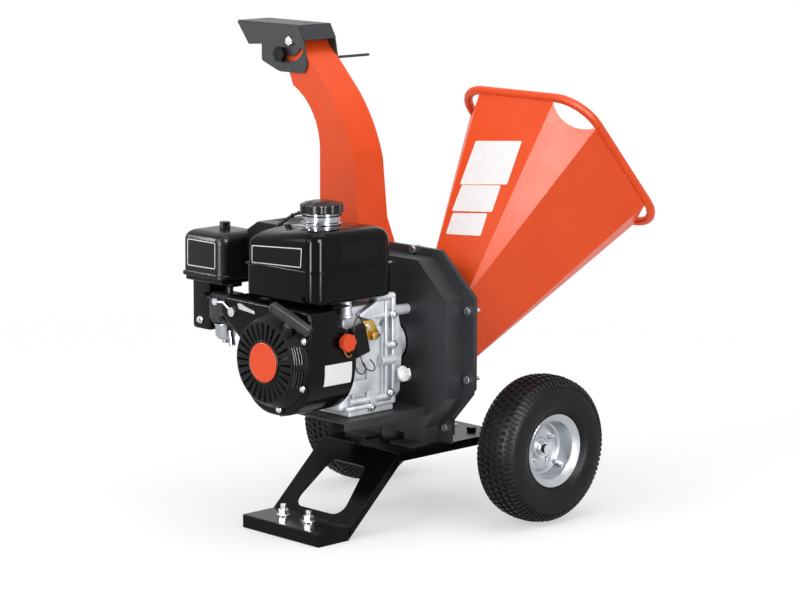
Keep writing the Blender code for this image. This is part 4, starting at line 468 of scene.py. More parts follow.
def add_stack(bm, outline, rings, low):
    """An outline at the height low, raised through rings of (inset, height) that count from it."""
    own = bmesh.new()
    xs, ys = [x for x, y in outline], [y for x, y in outline]
    middle = mm((min(xs) + max(xs)) / 2, (min(ys) + max(ys)) / 2, 0)
    width, depth = max(xs) - min(xs), max(ys) - min(ys)
    face = own.faces.new([own.verts.new(mm(x, y, 0)) for x, y in outline])
    inset_now, height_now = 0, 0
    for i, (inset, height) in enumerate(rings):
        if i:
            face = first_face(bmesh.ops.extrude_face_region(own, geom=[face])["geom"])
        ratio = [(size - 2 * inset) / (size - 2 * inset_now) for size in (width, depth)]
        bmesh.ops.scale(own, vec=(*ratio, 1), verts=face.verts[:], space=Matrix.Translation(-middle))
        bmesh.ops.translate(own, vec=(0, 0, (height - height_now) / 1000), verts=face.verts[:])
        inset_now, height_now = inset, height
    outward(own)
    pour(own, bm, Matrix.Translation(mm(0, 0, low)))


def rounded(corners, radius, steps=4):
    """A polygon whose corners are arcs, of one radius or of one each."""
    points = []
    radii = radius if isinstance(radius, tuple) else (radius,) * len(corners)
    for i, (corner, radius) in enumerate(zip(corners, radii)):
        corner = Vector(corner)
        before = (Vector(corners[i - 1]) - corner).normalized()
        after = (Vector(corners[(i + 1) % len(corners)]) - corner).normalized()
        half = math.acos(max(-1, min(1, before.dot(after)))) / 2
        centre = corner + (before + after).normalized() * radius / math.sin(half)
        first = corner + before * radius / math.tan(half) - centre
        last = corner + after * radius / math.tan(half) - centre
        turn = math.atan2(first.x * last.y - first.y * last.x, first.dot(last))
        for k in range(steps + 1):
            angle = turn * k / steps
            points.append((
                centre.x + first.x * math.cos(angle) - first.y * math.sin(angle),
                centre.y + first.x * math.sin(angle) + first.y * math.cos(angle),
            ))
    return points


def box(left, low, right, high):
    """The four corners of an upright rectangle."""
    return [(left, low), (right, low), (right, high), (left, high)]


def lobed(radius, depth, lobes, per_lobe=8):
    """The outline of a hand knob: a circle whose radius dips between its lobes."""
    points = []
    for i in range(lobes * per_lobe):
        angle = 2 * math.pi * i / (lobes * per_lobe)
        at = radius - depth * (0.5 - 0.5 * math.cos(lobes * angle)) ** 2
        points.append((at * math.cos(angle), at * math.sin(angle)))
    return points


# Wheels

# Half the tyre's section in (radius, way from the middle), from the bead over the sidewall to the crown
CARCASS = (
    (51.4, 28.5), (64.8, 32.6), (66.5, 35.5), (69.5, 37.6), (71, 37.4), (72.5, 39), (80, 41.6), (90, 42.4),
    (100, 42.3), (108, 41.2), (112.5, 39.2), (116.5, 36), (120, 31), (122.6, 24), (124, 16), (124.7, 8),
    (124.9, 0),
)
# Ribs over each shoulder: their number, and where their middle line starts and ends in (way across, radius)
RIB_COUNT = 84
RIB_LOW, RIB_HIGH = (40.6, 110.5), (29, 122.6)
RIB_HALF_WIDTH, RIB_BELOW, RIB_ABOVE, RIB_CROWN = 2.7, 2.4, 1.6, 1.1
# Tread blocks: the rows' ways across, the number in a row, their foot, and how far the top draws in
KNOB_ROWS = (-21, -7.2, 7.2, 21)
KNOB_COUNT = 66
KNOB_HALF_LENGTH, KNOB_HALF_WIDTH, KNOB_DEPTH = 4.6, 3.6, 5
KNOB_TAPER = (0.8, 0.74)


def stamp_round(bm, own, centre, count, shift):
    """Repeats a small mesh round the axle, with its first place shifted by a share of the pitch."""
    for i in range(count):
        turn = Matrix.Rotation(2 * math.pi * (i + shift) / count, 4, "X")
        pour(own.copy(), bm, Matrix.Translation(mm(*centre)) @ turn)
    own.free()


def shoulder_rib(hand):
    """A bowed rib that lies over one shoulder of the tyre, at the top of the wheel."""
    low, high = (Vector((hand * across, 0, radius)) for across, radius in (RIB_LOW, RIB_HIGH))
    slope = math.atan2(high.z - low.z, abs(high.x - low.x))
    length = (high - low).length
    rib = bmesh.new()
    add_block(rib, (-length / 2, -RIB_HALF_WIDTH, -RIB_BELOW), (length / 2, RIB_HALF_WIDTH, RIB_ABOVE))
    long_edges = [e for e in rib.edges if abs(e.verts[0].co.x - e.verts[1].co.x) > 0.005]
    bmesh.ops.subdivide_edges(rib, edges=long_edges, cuts=2)
    for v in rib.verts:
        v.co.z += RIB_CROWN / 1000 * (1 - (2 * v.co.x * 1000 / length) ** 2)
    ease(rib, [e for e in sharp_edges(rib, 0.8) if e.verts[0].co.z + e.verts[1].co.z > 0], 0.5, 1)
    tilt = Matrix.Translation((low + high) / 2000) @ Matrix.Rotation(hand * slope, 4, "Y")
    bmesh.ops.transform(rib, matrix=tilt, verts=rib.verts)
    return rib


def tread_knob(across):
    """A tread block at the top of the wheel, narrower at its crown. The tread falls a little to each side."""
    knob = bmesh.new()
    crown = WHEEL_RADIUS - 0.2 - 0.0062 * across * across
    foot = (-KNOB_HALF_LENGTH, -KNOB_HALF_WIDTH, crown - KNOB_DEPTH)
    add_block(knob, foot, (KNOB_HALF_LENGTH, KNOB_HALF_WIDTH, crown))
    for v in knob.verts:
        if v.co.z > (crown - 1) / 1000:
            v.co.x *= KNOB_TAPER[0]
            v.co.y *= KNOB_TAPER[1]
        v.co.x += across / 1000
    return knob


def make_tyre(side, node):
    """A turned carcass with a ribbed shoulder each side and four staggered rows of small tread blocks."""
    bm = bmesh.new()
    section = [*CARCASS, *((r, -x) for r, x in reversed(CARCASS[:-1]))]
    centre = (WHEEL_CENTRE[0] * side, *WHEEL_CENTRE[1:])
    add_turned(bm, section, centre, (1, 0, 0), 96, closed=True)
    for hand in (-1, 1):
        stamp_round(bm, shoulder_rib(hand), centre, RIB_COUNT, 0.25 * hand)
    for row, across in enumerate(KNOB_ROWS):
        stamp_round(bm, tread_knob(across), centre, KNOB_COUNT, 0.5 * (row % 2))
    finished(node + "_treaded", bm, RUBBER, node, check=False)


# The rim's closed section in (radius, way outwards): lip, well, dished disc, hub tube, and back inside
RIM_SECTION = (
    (63.6, 33.4), (64, 34.3), (63.4, 35), (62.2, 34.6), (58.5, 33), (54, 31), (50.6, 29), (48.4, 25),
    (47.8, 17), (47.4, 8), (45.6, 3.4), (41.5, 2.2), (37, 3.2), (30, 3.4), (24, 1.2), (19.2, 0.4),
    (18.2, 1.6), (18, 3.6), (17.2, 4), (8.9, 4), (8.9, -35), (17.6, -35), (18, -34), (18, -8.5), (24, -8.5),
    (37, -6), (45.5, -6), (47.4, -8.5), (47.6, -26), (50.2, -29), (58.5, -33), (62.2, -35), (64, -34.3),
    (62.4, -32.6), (52.4, -27.6), (51, -25), (51, 25), (52.4, 27.8), (58, 31),
)
NUT_COUNT, NUT_CIRCLE, NUT_ANGLE = 4, 30, 35
VALVE_Y, VALVE_Z = 30, -28


def make_rim(side, node):
    """A pressed steel rim: rolled lip, well, dished disc with four nuts, hub tube and valve stem."""
    bm = bmesh.new()
    x, y_axle, z_axle = WHEEL_CENTRE[0] * side, *WHEEL_CENTRE[1:]
    out = (side, 0, 0)
    add_turned(bm, RIM_SECTION, (x, y_axle, z_axle), out, 96, closed=True)
    for i in range(NUT_COUNT):
        angle = math.radians(NUT_ANGLE + 360 / NUT_COUNT * i)
        y, z = y_axle + NUT_CIRCLE * math.cos(angle), z_axle + NUT_CIRCLE * math.sin(angle)
        add_bar(bm, (x + side * 2, y, z), (x + side * 4.6, y, z), 7.2, edge=0.4)
        add_hexagon(bm, (x + side * 4.4, y, z), out, 10, 4.6)
        add_bar(bm, (x + side * 7, y, z), (x + side * 11.5, y, z), 2.9, edge=0.5, sides=16)
    finished(node + "_pressed", bm, RIM_ZINC, node, smooth=28)
    bm = bmesh.new()
    y, z = y_axle + VALVE_Y, z_axle + VALVE_Z
    base, tip = Vector((x + side * 3, y, z)), Vector((x + side * 19, y + 2, z - 2))
    add_bar(bm, base, base.lerp(tip, 0.6), 4.4, 3.4, 16, 0.4)
    add_bar(bm, base.lerp(tip, 0.55), tip, 2.9, 2.9, 16, 0.4)
    finished(node.replace("wheel_rim", "valve_stem"), bm, ZINC, body=body_of(node))


# Starter

# The sheet of its cover and of the fan shroud, in metres
SHEET = 0.0022
# The cover is turned from (radius, height): a band that carries the slots, then the flank with its louvres
COVER_BAND = ((34.2, 19.6), (38.5, 19.7), (66.5, 19.7), (69, 19.2), (70.6, 17.6))
COVER_FLANK = (
    (72, 15.6), (73, 14.2), (74, 12.4), (75, 11), (76, 9.2), (77, 7.8), (78, 6),
    (79, 4.6), (80, 2.8), (81.5, 0.3),
)
# Slots: their number, how many steps of the turned cover there are to each, and their inner and outer ends
SLOTS, STEPS_PER_SLOT = 28, 4
SLOT_INNER, SLOT_OUTER = 38.5, 66
SLOT_RIB = ((39.5, -20.9, -0.55), (65, -19.2, 0.55))
# Louvres: their inner and outer radii, and the angles above and below the shaft's level that they span
LOUVRES = ((72, 73), (74, 75), (76, 77), (78, 79))
LOUVRE_START, LOUVRE_END = 4, 27
# Lips: the middles of what stands between the louvres, in (radius, height), and their own radius in metres
LIPS = ((71.9, 15.7), (73.5, 13.3), (75.5, 10.1), (77.5, 6.9))
LIP_RADIUS = 0.00095
# Beyond this radius in millimetres the flank is drawn out to the right, by this much for each millimetre
FLARE_START, FLARE = 71.6, 0.6


def flare(verts):
    for v in verts:
        v.co.x += FLARE / 1000 * max(0, math.hypot(v.co.x, v.co.y) * 1000 - FLARE_START)


def open_on_cover(face):
    """Whether a face of the turned cover lies in a slot or a louvre."""
    middle = face.calc_center_median() * 1000
    radius = math.hypot(middle.x, middle.y)
    angle = math.degrees(math.atan2(middle.y, middle.x))
    step = int((angle % 360) / 360 * SLOTS * STEPS_PER_SLOT)
    if SLOT_INNER < radius < SLOT_OUTER:
        return step % STEPS_PER_SLOT == 0
    in_bank = LOUVRE_START < abs(angle) < LOUVRE_END
    return in_bank and any(low < radius < high for low, high in LOUVRES)


def make_starter_cover():
    """A pressed cover: slotted face, and a flank that flares to the right with two banks of louvres."""
    shaft = (0, COVER_Y, SHAFT_Z)
    place = facing_front(*shaft)
    bm = turned(COVER_BAND + COVER_FLANK, SLOTS * STEPS_PER_SLOT)
    outward(bm)
    bmesh.ops.delete(bm, geom=[face for face in bm.faces if open_on_cover(face)], context="FACES")
    flare(bm.verts)
    bmesh.ops.solidify(bm, geom=bm.faces[:], thickness=SHEET)
    outward(bm)
    ease(bm, sharp_edges(bm, 0.9), 0.35)
    bmesh.ops.transform(bm, matrix=place, verts=bm.verts)
    ring = [(34.6, 19), (34.6, 21.2), (35.6, 21.8), (36.8, 21.2), (37.2, 19)]
    add_turned(bm, ring, shaft, (0, -1, 0), 96, closed=True)
    # A raised rib runs beside each slot
    for i in range(SLOTS):
        turn = Matrix.Translation(mm(*shaft)) @ Matrix.Rotation(2 * math.pi * (i + 0.64) / SLOTS, 4, "Y")
        add_block(bm, *SLOT_RIB, 0.3, turn)
    # The rope guide, with its collar
    low, collar, top = (handle_point(distance) for distance in ROPE_GUIDE)
    add_bar(bm, low, top, 10.2, 9, 32, 0.8)
    add_bar(bm, collar, top, 11.2, 11.2, 32, 0.8)
    # An ear takes each of the cover's screws
    for x, z in COVER_SCREWS:
        add_slab(bm, lobed(8.5, 0, 3), 3, facing_front(x, COVER_Y, z), 0.6)
    finished("starter_cover", bm, BLACK_PLASTIC, "recoil_housing", smooth=30, check=False)
    make_louvre_lips(place)
    bm = bmesh.new()
    for x, z in COVER_SCREWS:
        washer = [(0, 0), (5.6, 0), (5.6, 1), (5, 1.4), (0, 1.4)]
        add_screw(bm, washer, (x, COVER_Y - 2.9, z), (0, -1, 0), 7, 3.2, 1.2)
    finished("starter_screws", bm, ZINC)


def make_louvre_lips(place):
    """A rounded lip between one louvre and the next, in both banks."""
    lips = bmesh.new()
    span = math.radians(LOUVRE_END - LOUVRE_START)
    for radius, height in LIPS:
        for start in (LOUVRE_START, -LOUVRE_END):
            middle = Matrix.Rotation(math.radians(start), 4, "Z") @ Matrix.Translation(mm(radius, 0, height))
            upright = middle @ Matrix.Rotation(math.pi / 2, 4, "X")
            lip = bmesh.ops.create_circle(lips, segments=12, radius=LIP_RADIUS, matrix=upright)["verts"]
            rim = list({e for v in lip for e in v.link_edges})
            bmesh.ops.spin(lips, geom=lip + rim, cent=(0, 0, 0), axis=(0, 0, 1), angle=span, steps=14)
    bmesh.ops.holes_fill(lips, edges=[e for e in lips.edges if e.is_boundary])
    flare(lips.verts)
    bmesh.ops.transform(lips, matrix=place, verts=lips.verts)
    outward(lips)
    finished("starter_louvre_lips", lips, LIP_ENAMEL, smooth=60)


# The grip's middle, the ways of the rope and of the grip, and the rope guide's foot, collar and top
HANDLE_MIDDLE = Vector((63, -66, SHAFT_Z + 81))
HANDLE_AXIS = Vector((0.42, -0.18, 0.88)).normalized()
GRIP_ACROSS = Vector((0.85, 0.2, -0.42)).normalized()
GRIP_THICKNESS = 13
ROPE_GUIDE = (-34, -17, -14.5)


def handle_point(distance):
    """A point on the line that the starter rope is pulled along."""
    return HANDLE_MIDDLE + HANDLE_AXIS * distance


def make_pull_handle():
    """A moulded T grip with three pockets in each face and a neck down to the rope guide."""
    bm = bmesh.new()
    up = (HANDLE_AXIS - GRIP_ACROSS * HANDLE_AXIS.dot(GRIP_ACROSS)).normalized()
    out = GRIP_ACROSS.cross(up)
    outline = rounded([(-42, -8.5), (42, -8.5), (43, 8), (0, 9.4), (-43, 8)], 4, 5)
    back = frame_of(HANDLE_MIDDLE - out * GRIP_THICKNESS / 2, GRIP_ACROSS, up)
    add_slab(bm, outline, GRIP_THICKNESS, back, 1.6, 3)
    for hand in (-1, 1):
        front, right = HANDLE_MIDDLE + out * hand * 6.4, GRIP_ACROSS * hand
        rim = rounded(box(-39.5, -6.2, 39.5, 5.8), 3)
        add_frame(bm, rim, 1.5, 1.1, frame_of(front, right, up))
        for x in (-13, 13):
            wall = rounded(box(-0.8, -5.8, 0.8, 5.8), 0.4, 2)
            add_slab(bm, wall, 1.1, frame_of(front + right * x, right, up), 0.2, 1)
    neck = [(0, 0), (8.6, 0), (9, 0.6), (7.2, 6), (7, 14), (0, 14)]
    add_turned(bm, neck, handle_point(-14.2), HANDLE_AXIS, 32)
    finished("pull_grip", bm, GRIP_PLASTIC, "pull_handle", check=False)


# The shroud's outline in (x, z), the radius of each corner, its back and front, and its hole for the starter
SHROUD_CORNERS = ((-79, 214), (92, 214), (92, 398), (-125, 400), (-137, 372), (-79, 328))
SHROUD_RADII = (74, 80, 14, 12, 14, 24)
SHROUD_BACK, SHROUD_FRONT = 52, -50
STARTER_HOLE = 72.5
# The part cut away above the switch: its edge in (y, z) from front to back, right of CUT_X
CUT_EDGE = ((12, 369), (22, 366), (36, 359), (45, 348), (50, 333), (53, 326))
CUT_X = 40
# The faces right of and above this point, in metres, are the ones that may be cut
CUT_CORNER = (0.03, 0.3)


def cut_away(face):
    """Whether a face lies in the part of the shroud that is cut away."""
    middle = face.calc_center_median() * 1000
    if middle.x < CUT_X or middle.y < CUT_EDGE[0][0]:
        return False
    for (y, z), (y_next, z_next) in zip(CUT_EDGE, CUT_EDGE[1:]):
        if middle.y < y_next:
            return middle.z > z + (z_next - z) * (middle.y - y) / (y_next - y)
    return False


def upper_right(bm):
    """The faces round the part that is cut away."""
    middles = [(f, f.calc_center_median()) for f in bm.faces]
    return [f for f, middle in middles if middle.x > CUT_CORNER[0] and middle.z > CUT_CORNER[1]]


def make_fan_shroud():
    """The blower housing: one drawn skin with a rolled front edge, cut away so that the mounts show."""
    own = bmesh.new()
    outline = rounded(SHROUD_CORNERS, SHROUD_RADII, 16)
    front = own.faces.new([own.verts.new(mm(x, SHROUD_BACK, z)) for x, z in outline])
    face = first_face(pulled(own, [front], (0, SHROUD_FRONT - SHROUD_BACK, 0)))
    bmesh.ops.delete(own, geom=[front], context="FACES_ONLY")
    ease(own, face.edges[:], 4.5, 4)
    face = min(own.faces, key=lambda f: (round(f.calc_center_median().y, 5), -f.calc_area()))
    rim = face.edges[:]
    bmesh.ops.delete(own, geom=[face], context="FACES_ONLY")
    ring = bmesh.ops.create_circle(own, segments=72, radius=STARTER_HOLE / 1000)["verts"]
    bmesh.ops.transform(own, matrix=facing_front(0, SHROUD_FRONT, SHAFT_Z), verts=ring)
    rim += {e for v in ring for e in v.link_edges}
    bmesh.ops.triangle_fill(own, edges=rim, use_beauty=True)
    outward(own)
    planes = [((CUT_X, 0, 0), (1, 0, 0)), ((0, CUT_EDGE[0][0], 0), (0, 1, 0))]
    for one, two in zip(CUT_EDGE, CUT_EDGE[1:]):
        planes.append(((0, *one), (0, one[1] - two[1], two[0] - one[0])))
    for point, normal in planes:
        faces = upper_right(own)
        geom = faces + list({e for f in faces for e in f.edges}) + list({v for f in faces for v in f.verts})
        bmesh.ops.bisect_plane(own, geom=geom, dist=0.000001, plane_co=mm(*point), plane_no=normal)
    bmesh.ops.delete(own, geom=[f for f in own.faces if cut_away(f)], context="FACES")
    bmesh.ops.solidify(own, geom=own.faces[:], thickness=SHEET)
    outward(own)
    finished("fan_shroud_drawn", own, SHROUD_PAINT, "fan_shroud", smooth=35, check=False)


# Fuel tank and air cleaner

TANK_LOW, TANK_SEAM, TANK_HIGH = 405, 461, 528
TANK_MOUNTS = (
    ((22, 140, 404.8), (56, 162, 407)),
    ((22, 146, 405), (56, 162, 425)),
    ((-60, 120, 401), (18, 144, 406)),
)
# The top falls away towards the air cleaner and a little towards the back: how far, from where, over what way
FALL_LEFT, FALL_LEFT_FROM, FALL_LEFT_OVER = 25, -22, 63
FALL_BACK, FALL_BACK_FROM, FALL_BACK_OVER = 8, 55, 93


def make_tank():
    """Two pressed halves, joined by a seam flange: a tray with a rolled edge, and a crowned upper half."""
    bm = bmesh.new()
    outline = rounded(box(-85, -37, 90, 148), (15, 25, 25, 22), 12)
    tray = [(8, 0), (4.4, 0.9), (1.6, 2.8), (0.4, 5.4), (0, 8), (0, TANK_SEAM - TANK_LOW)]
    crown = [
        (1, 0), (1.2, 3), (1.4, 20), (1.6, 36), (1.8, 46), (2.5, 51), (4, 55.5), (6.4, 59.5), (9.8, 62.8),
        (14, 65.2), (20, 66.6), (30, 67), (48, 67),
    ]
    add_stack(bm, outline, crown, TANK_SEAM)
    for v in bm.verts:
        x, y, z = v.co * 1000
        fall = FALL_LEFT * (max(0, FALL_LEFT_FROM - x) / FALL_LEFT_OVER) ** 1.25
        fall += FALL_BACK * (max(0, y - FALL_BACK_FROM) / FALL_BACK_OVER) ** 2
        v.co.z -= fall * ((z - TANK_SEAM) / (TANK_HIGH - TANK_SEAM)) ** 1.5 / 1000
    add_stack(bm, outline, tray, TANK_LOW)
    flange = rounded(box(-89, -41, 94, 152), (18, 28, 28, 25), 12)
    add_stack(bm, flange, [(0.8, 0), (0, 0.8), (0, 2.2), (0.8, 3)], TANK_SEAM - 1.5)
    for mount in TANK_MOUNTS:
        add_block(bm, *mount, 0.6)
    finished("fuel_tank_pressed", bm, TANK_PAINT, "fuel_tank", smooth=40, check=False)


AIR_CLEANER_LOW = 412


def make_air_cleaner_cover():
    """A moulded cover with a stepped skirt, drawn sides and a softly crowned top."""
    bm = bmesh.new()
    outline = rounded(box(-293, 0, -187, 100), (13, 20, 20, 20), 10)
    rings = [
        (-2.4, 0), (-3, 0.6), (-3, 5.4), (-2.4, 6), (-0.6, 6.6), (-0.1, 8), (0, 10), (0.2, 61), (0.8, 66),
        (2.4, 70.8), (5.2, 74.6), (9, 77.4), (14, 79.1), (21, 79.8), (30, 80),
    ]
    add_stack(bm, outline, rings, AIR_CLEANER_LOW)
    node = "air_cleaner_cover"
    finished(node + "_moulded", bm, SATIN_PLASTIC, node, smooth=40, check=False)


CAP_X, CAP_Y, CAP_Z = 7, 55, 546.6
# The tether's ring round the neck, and its path down to the tank
TETHER_RING_Z = 541.5
TETHER = (
    (-25, 45, 542.6), (-34, 41, 542.4), (-45, 36, 538), (-56, 30, 529.5), (-66, 25, 520.5), (-75, 20, 512),
)


def make_fuel_cap():
    """A moulded cap with six broad lobes and a low dome, with its tether under it."""
    bm = bmesh.new()
    outline = lobed(37, 3.6, 6, 20)
    rings = [
        (1, 0), (0.2, 0.7), (0, 2), (0, 13), (0.5, 14.6), (1.8, 15.8), (4, 16.4), (5.5, 16), (7, 16.4),
        (12, 18.6), (20, 20.2), (30, 20.9),
    ]
    add_stack(bm, outline, rings, CAP_Z)
    bmesh.ops.translate(bm, vec=mm(CAP_X, CAP_Y, 0), verts=bm.verts[:])
    finished("fuel_cap_moulded", bm, CAP_PLASTIC, "fuel_cap", smooth=40, check=False)
    bm = bmesh.new()
    ring = [(30.2, 0), (33.6, 0), (33.6, 2.2), (30.2, 2.2)]
    add_turned(bm, ring, (CAP_X, CAP_Y, TETHER_RING_Z), (0, 0, 1), 72, closed=True)
    for one, two in zip(TETHER, TETHER[1:]):
        add_bar(bm, one, two, 2.6, sides=12)
    for point in TETHER[1:-1]:
        add_turned(bm, [(0, -1.2), (3.6, -1), (3.6, 1), (0, 1.2)], point, (-0.8, -0.3, -0.5), 16)
    finished("cap_tether", bm, BLACK_PLASTIC)


# Labels

# Their corners as pixels of the frame, from the lower left round, and what carries them in millimetres
TANK_FRONT_PIXELS = ((252, 262.5), (301, 268), (302, 248.5), (252, 245))
TANK_SIDE_PIXELS = ((342, 262), (378, 256), (377, 239.5), (340.5, 243.5))
AIR_CLEANER_PIXELS = ((187.6, 265), (215.3, 269.5), (215.3, 243), (187.6, 238.2))
HOPPER_PIXELS = (
    ((460, 184.5), (507, 184.5), (522, 141), (476, 141)),
    ((452, 211), (492, 212), (501, 185.5), (462, 185)),
    ((446, 234), (480.5, 236), (487.5, 213.5), (453, 213)),
)
TANK_FRONT_Y, TANK_SIDE_X, AIR_CLEANER_Y = -35.7, 88.3, 0
HOPPER_THROAT, HOPPER_MOUTH = Vector((54, 299.3, 381)), Vector((54, 474.7, 713.9))
# The rating label's near lower corner in (y, z), its size, and the shroud's side with its rounded lower edge
RATING_LOW, RATING_SIZE = (-16.7, 269.9), (61.2, 36.2)
SHROUD_SIDE_X, SHROUD_EDGE_Z, SHROUD_EDGE_RADIUS = 92.25, 294, 80
LABEL_LIFT, LABEL_THICKNESS, BORDER_WIDTH, BORDER_DEPTH = 0.15, 0.25, 1.5, 0.45


def seen_on(pixel, point, normal):
    """The point of a plane, in millimetres, that the camera sees at a pixel of its frame."""
    right, up, back = camera_axes()
    u = (pixel[0] - PICTURE_WIDTH / 2 + CAMERA_SHIFT[0] * PICTURE_WIDTH) / FOCAL_PIXELS
    v = (PICTURE_HEIGHT / 2 - pixel[1] + CAMERA_SHIFT[1] * PICTURE_WIDTH) / FOCAL_PIXELS
    eye = (CAMERA_TARGET + back * CAMERA_DISTANCE) * 1000
    ray = right * u + up * v - back
    return eye + ray * ((point - eye).dot(normal) / ray.dot(normal))


def flat_label(name, pixels, point, normal, across, coat, border=None, radius=2):
    """A thin plate over four pixels of the frame, flat on the surface that carries it."""
    point, normal = Vector(point), Vector(normal).normalized()
    across = (Vector(across) - normal * Vector(across).dot(normal)).normalized()
    up = normal.cross(across)
    corners = [seen_on(pixel, point, normal) for pixel in pixels]
    origin = sum(corners, Vector()) / 4
    outline = rounded([((c - origin).dot(across), (c - origin).dot(up)) for c in corners], radius)
    place = frame_of(origin + normal * LABEL_LIFT, across, up)
    if coat:
        bm = bmesh.new()
        add_slab(bm, outline, LABEL_THICKNESS, place)
        finished(name + "_plate", bm, coat)
    if border:
        bm = bmesh.new()
        add_frame(bm, outline, BORDER_WIDTH, BORDER_DEPTH, place)
        finished(name + "_border", bm, border)


def make_labels():
    """Bare plates where the real machine has printed ones."""
    right, back, front = (1, 0, 0), (0, 1, 0), (0, -1, 0)
    flat_label(
        "tank_front_label", TANK_FRONT_PIXELS, (0, TANK_FRONT_Y, 0), front, right, LABEL_BLACK, PALE_LABEL_BORDER
    )
    flat_label("tank_side_label", TANK_SIDE_PIXELS, (TANK_SIDE_X, 0, 0), right, back, LABEL_BLACK)
    flat_label(
        "air_cleaner_label", AIR_CLEANER_PIXELS, (0, AIR_CLEANER_Y, 0), front, right, None, PALE_LABEL_BORDER, 3
    )
    slope = Vector(right).cross((HOPPER_MOUTH - HOPPER_THROAT).normalized())
    for i, pixels in enumerate(HOPPER_PIXELS):
        flat_label(f"hopper_label_{i + 1}", pixels, HOPPER_THROAT, slope, right, LABEL_WHITE, None, 3)


def make_rating_label():
    """A plate that follows the fan shroud's side round its lower edge."""
    bm = bmesh.new()
    bmesh.ops.create_grid(bm, x_segments=1, y_segments=16, size=0.5)
    for v in bm.verts:
        y, z = (low + size * (at + 0.5) for low, size, at in zip(RATING_LOW, RATING_SIZE, v.co))
        below = max(0, SHROUD_EDGE_Z - z)
        inwards = SHROUD_EDGE_RADIUS - math.sqrt(SHROUD_EDGE_RADIUS**2 - below * below)
        v.co = mm(SHROUD_SIDE_X - inwards, y, z)
    outward(bm)
    bmesh.ops.solidify(bm, geom=bm.faces[:], thickness=0.0002)
    finished("fan_cover_label", bm, LABEL_WHITE)


# Wires and small fittings

# Each wire's name, diameter, coat and path. The two at the oil unit leave its foot, hang in a loop and go
# into the crankcase. The stop switch's pair runs from the back of the switch over to the unit's head.
WIRES = (
    ("oil_sensor_wire", 2.2, WIRE, (
        (72, 84, 306), (73, 85, 298), (76, 88, 289), (80, 95, 282), (81, 104, 280), (78, 111, 284),
        (71, 113, 291), (64, 112, 296),
    )),
    ("oil_unit_earth_wire", 2.2, WIRE, (
        (72, 72, 306), (74, 70, 298), (78, 66, 291), (82, 66, 284), (84, 73, 279), (81, 83, 279),
        (75, 92, 286), (66, 96, 293),
    )),
    ("stop_switch_wire", 2.2, WIRE, (
        (88, 52, 352), (84, 58, 366), (80, 66, 374), (76, 77, 374), (73, 84, 368), (71, 88, 361),
    )),
    ("stop_switch_return_wire", 1.8, AMBER_WIRE, (
        (96, 24, 326), (97, 27, 319), (96, 34, 315), (93, 41, 316), (88, 48, 321), (82, 54, 327),
    )),
)


def smooth_path(points, per_span=5):
    """Points of one smooth curve through the given ones."""
    points = [Vector(p) for p in points]
    ends = [points[0] * 2 - points[1], *points, points[-1] * 2 - points[-2]]
    path = []
    for a, b, c, d in zip(ends, ends[1:], ends[2:], ends[3:]):
        bend, twist = 2 * a - 5 * b + 4 * c - d, 3 * b - a - 3 * c + d
        for i in range(per_span):
            t = i / per_span
            path.append(0.5 * (2 * b + (c - a) * t + bend * t * t + twist * t**3))
    return path + [points[-1]]


def make_wire(name, diameter, coat, points):
    """An insulated wire between two places on the engine, sagging under its own weight."""
    path = [p / 1000 for p in smooth_path(points)]
    curve = bpy.data.curves.new(name, "CURVE")
    curve.dimensions = "3D"
    line = curve.splines.new("POLY")
    line.points.add(len(path) - 1)
    for point, place in zip(line.points, path):
        point.co = (*place, 1)
    line.use_smooth = True
    curve.bevel_depth = diameter / 2000
    curve.bevel_resolution = 3
    curve.use_fill_caps = True
    curve.materials.append(coat)
    wire = placed(name, curve)
    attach(wire, "machine")


# The control plate on the fan shroud in (x, z), its screw, and the screw of the air duct by the carburettor
CONTROL_PLATE = ((-88, 392), (-83, 383), (-40, 379), (-47, 385), (-66, 389), (-78, 393))
CONTROL_SCREW = (-45.5, 382.4)
DUCT_SCREW = (-271, 22, 331)


def make_carburettor_fittings():
    """Bright plated fittings that stand out against the black carburettor."""
    bm = bmesh.new()
    add_slab(bm, rounded(CONTROL_PLATE, 1.2, 3), 1.6, facing_front(0, COVER_Y, 0), 0.3, 1)
    x, z = CONTROL_SCREW
    add_bar(bm, (x, COVER_Y - 1.3, z), (x, COVER_Y - 3.1, z), 3.2, edge=0.4, sides=20)
    add_screw(bm, [(0, 0), (6.4, 0), (6.4, 1.2), (5.6, 1.8), (0, 1.8)], DUCT_SCREW, (0, -1, 0), 8, 4, 1.6)
    finished("control_fittings", bm, ZINC)


# Crankcase details

# The pillar under the tank, and outlines in (y, z) with the plane that each stands on
PILLAR = (53, 67)
GUSSET_X, PAD_X, BRACKET_X = 52, 59.8, 66.5
GUSSET = ((88, 372.5), (128, 359), (146, 359), (171, 386), (171, 404), (158, 404))
PAD = box(66, 240, 118, 262)
BRACKET = ((92, 347), (108, 329), (134, 333), (116, 364), (93, 364))
BRACKET_Y, BRACKET_Z = 104, 354
# Bosses: their axis in (x, z), start and end in y, and radius
BOSSES = (
    (57, 367, 126, 171.5, 6.5),
    (61, 315, 150, 171.5, 5.5),
    (62, 289, 138, 171.5, 8.5),
    (58, 226, 70, 156, 6.5),
    (60, 398, 128, 171.5, 6),
)
# Webs and flanges: corner, opposite corner and the width of the eased edge
WEBS = (
    ((54, 149, 222), (63.5, 156, 392), 1.2),
    ((54, 163, 214), (66, 171.5, 396), 1.4),
    ((54, 62, 212), (63.2, 171, 219), 1.2),
)
CASE_BOLTS = ((63, 118, 213), (66, 160, 232), (66, 166, 367), (66, 166, 315))


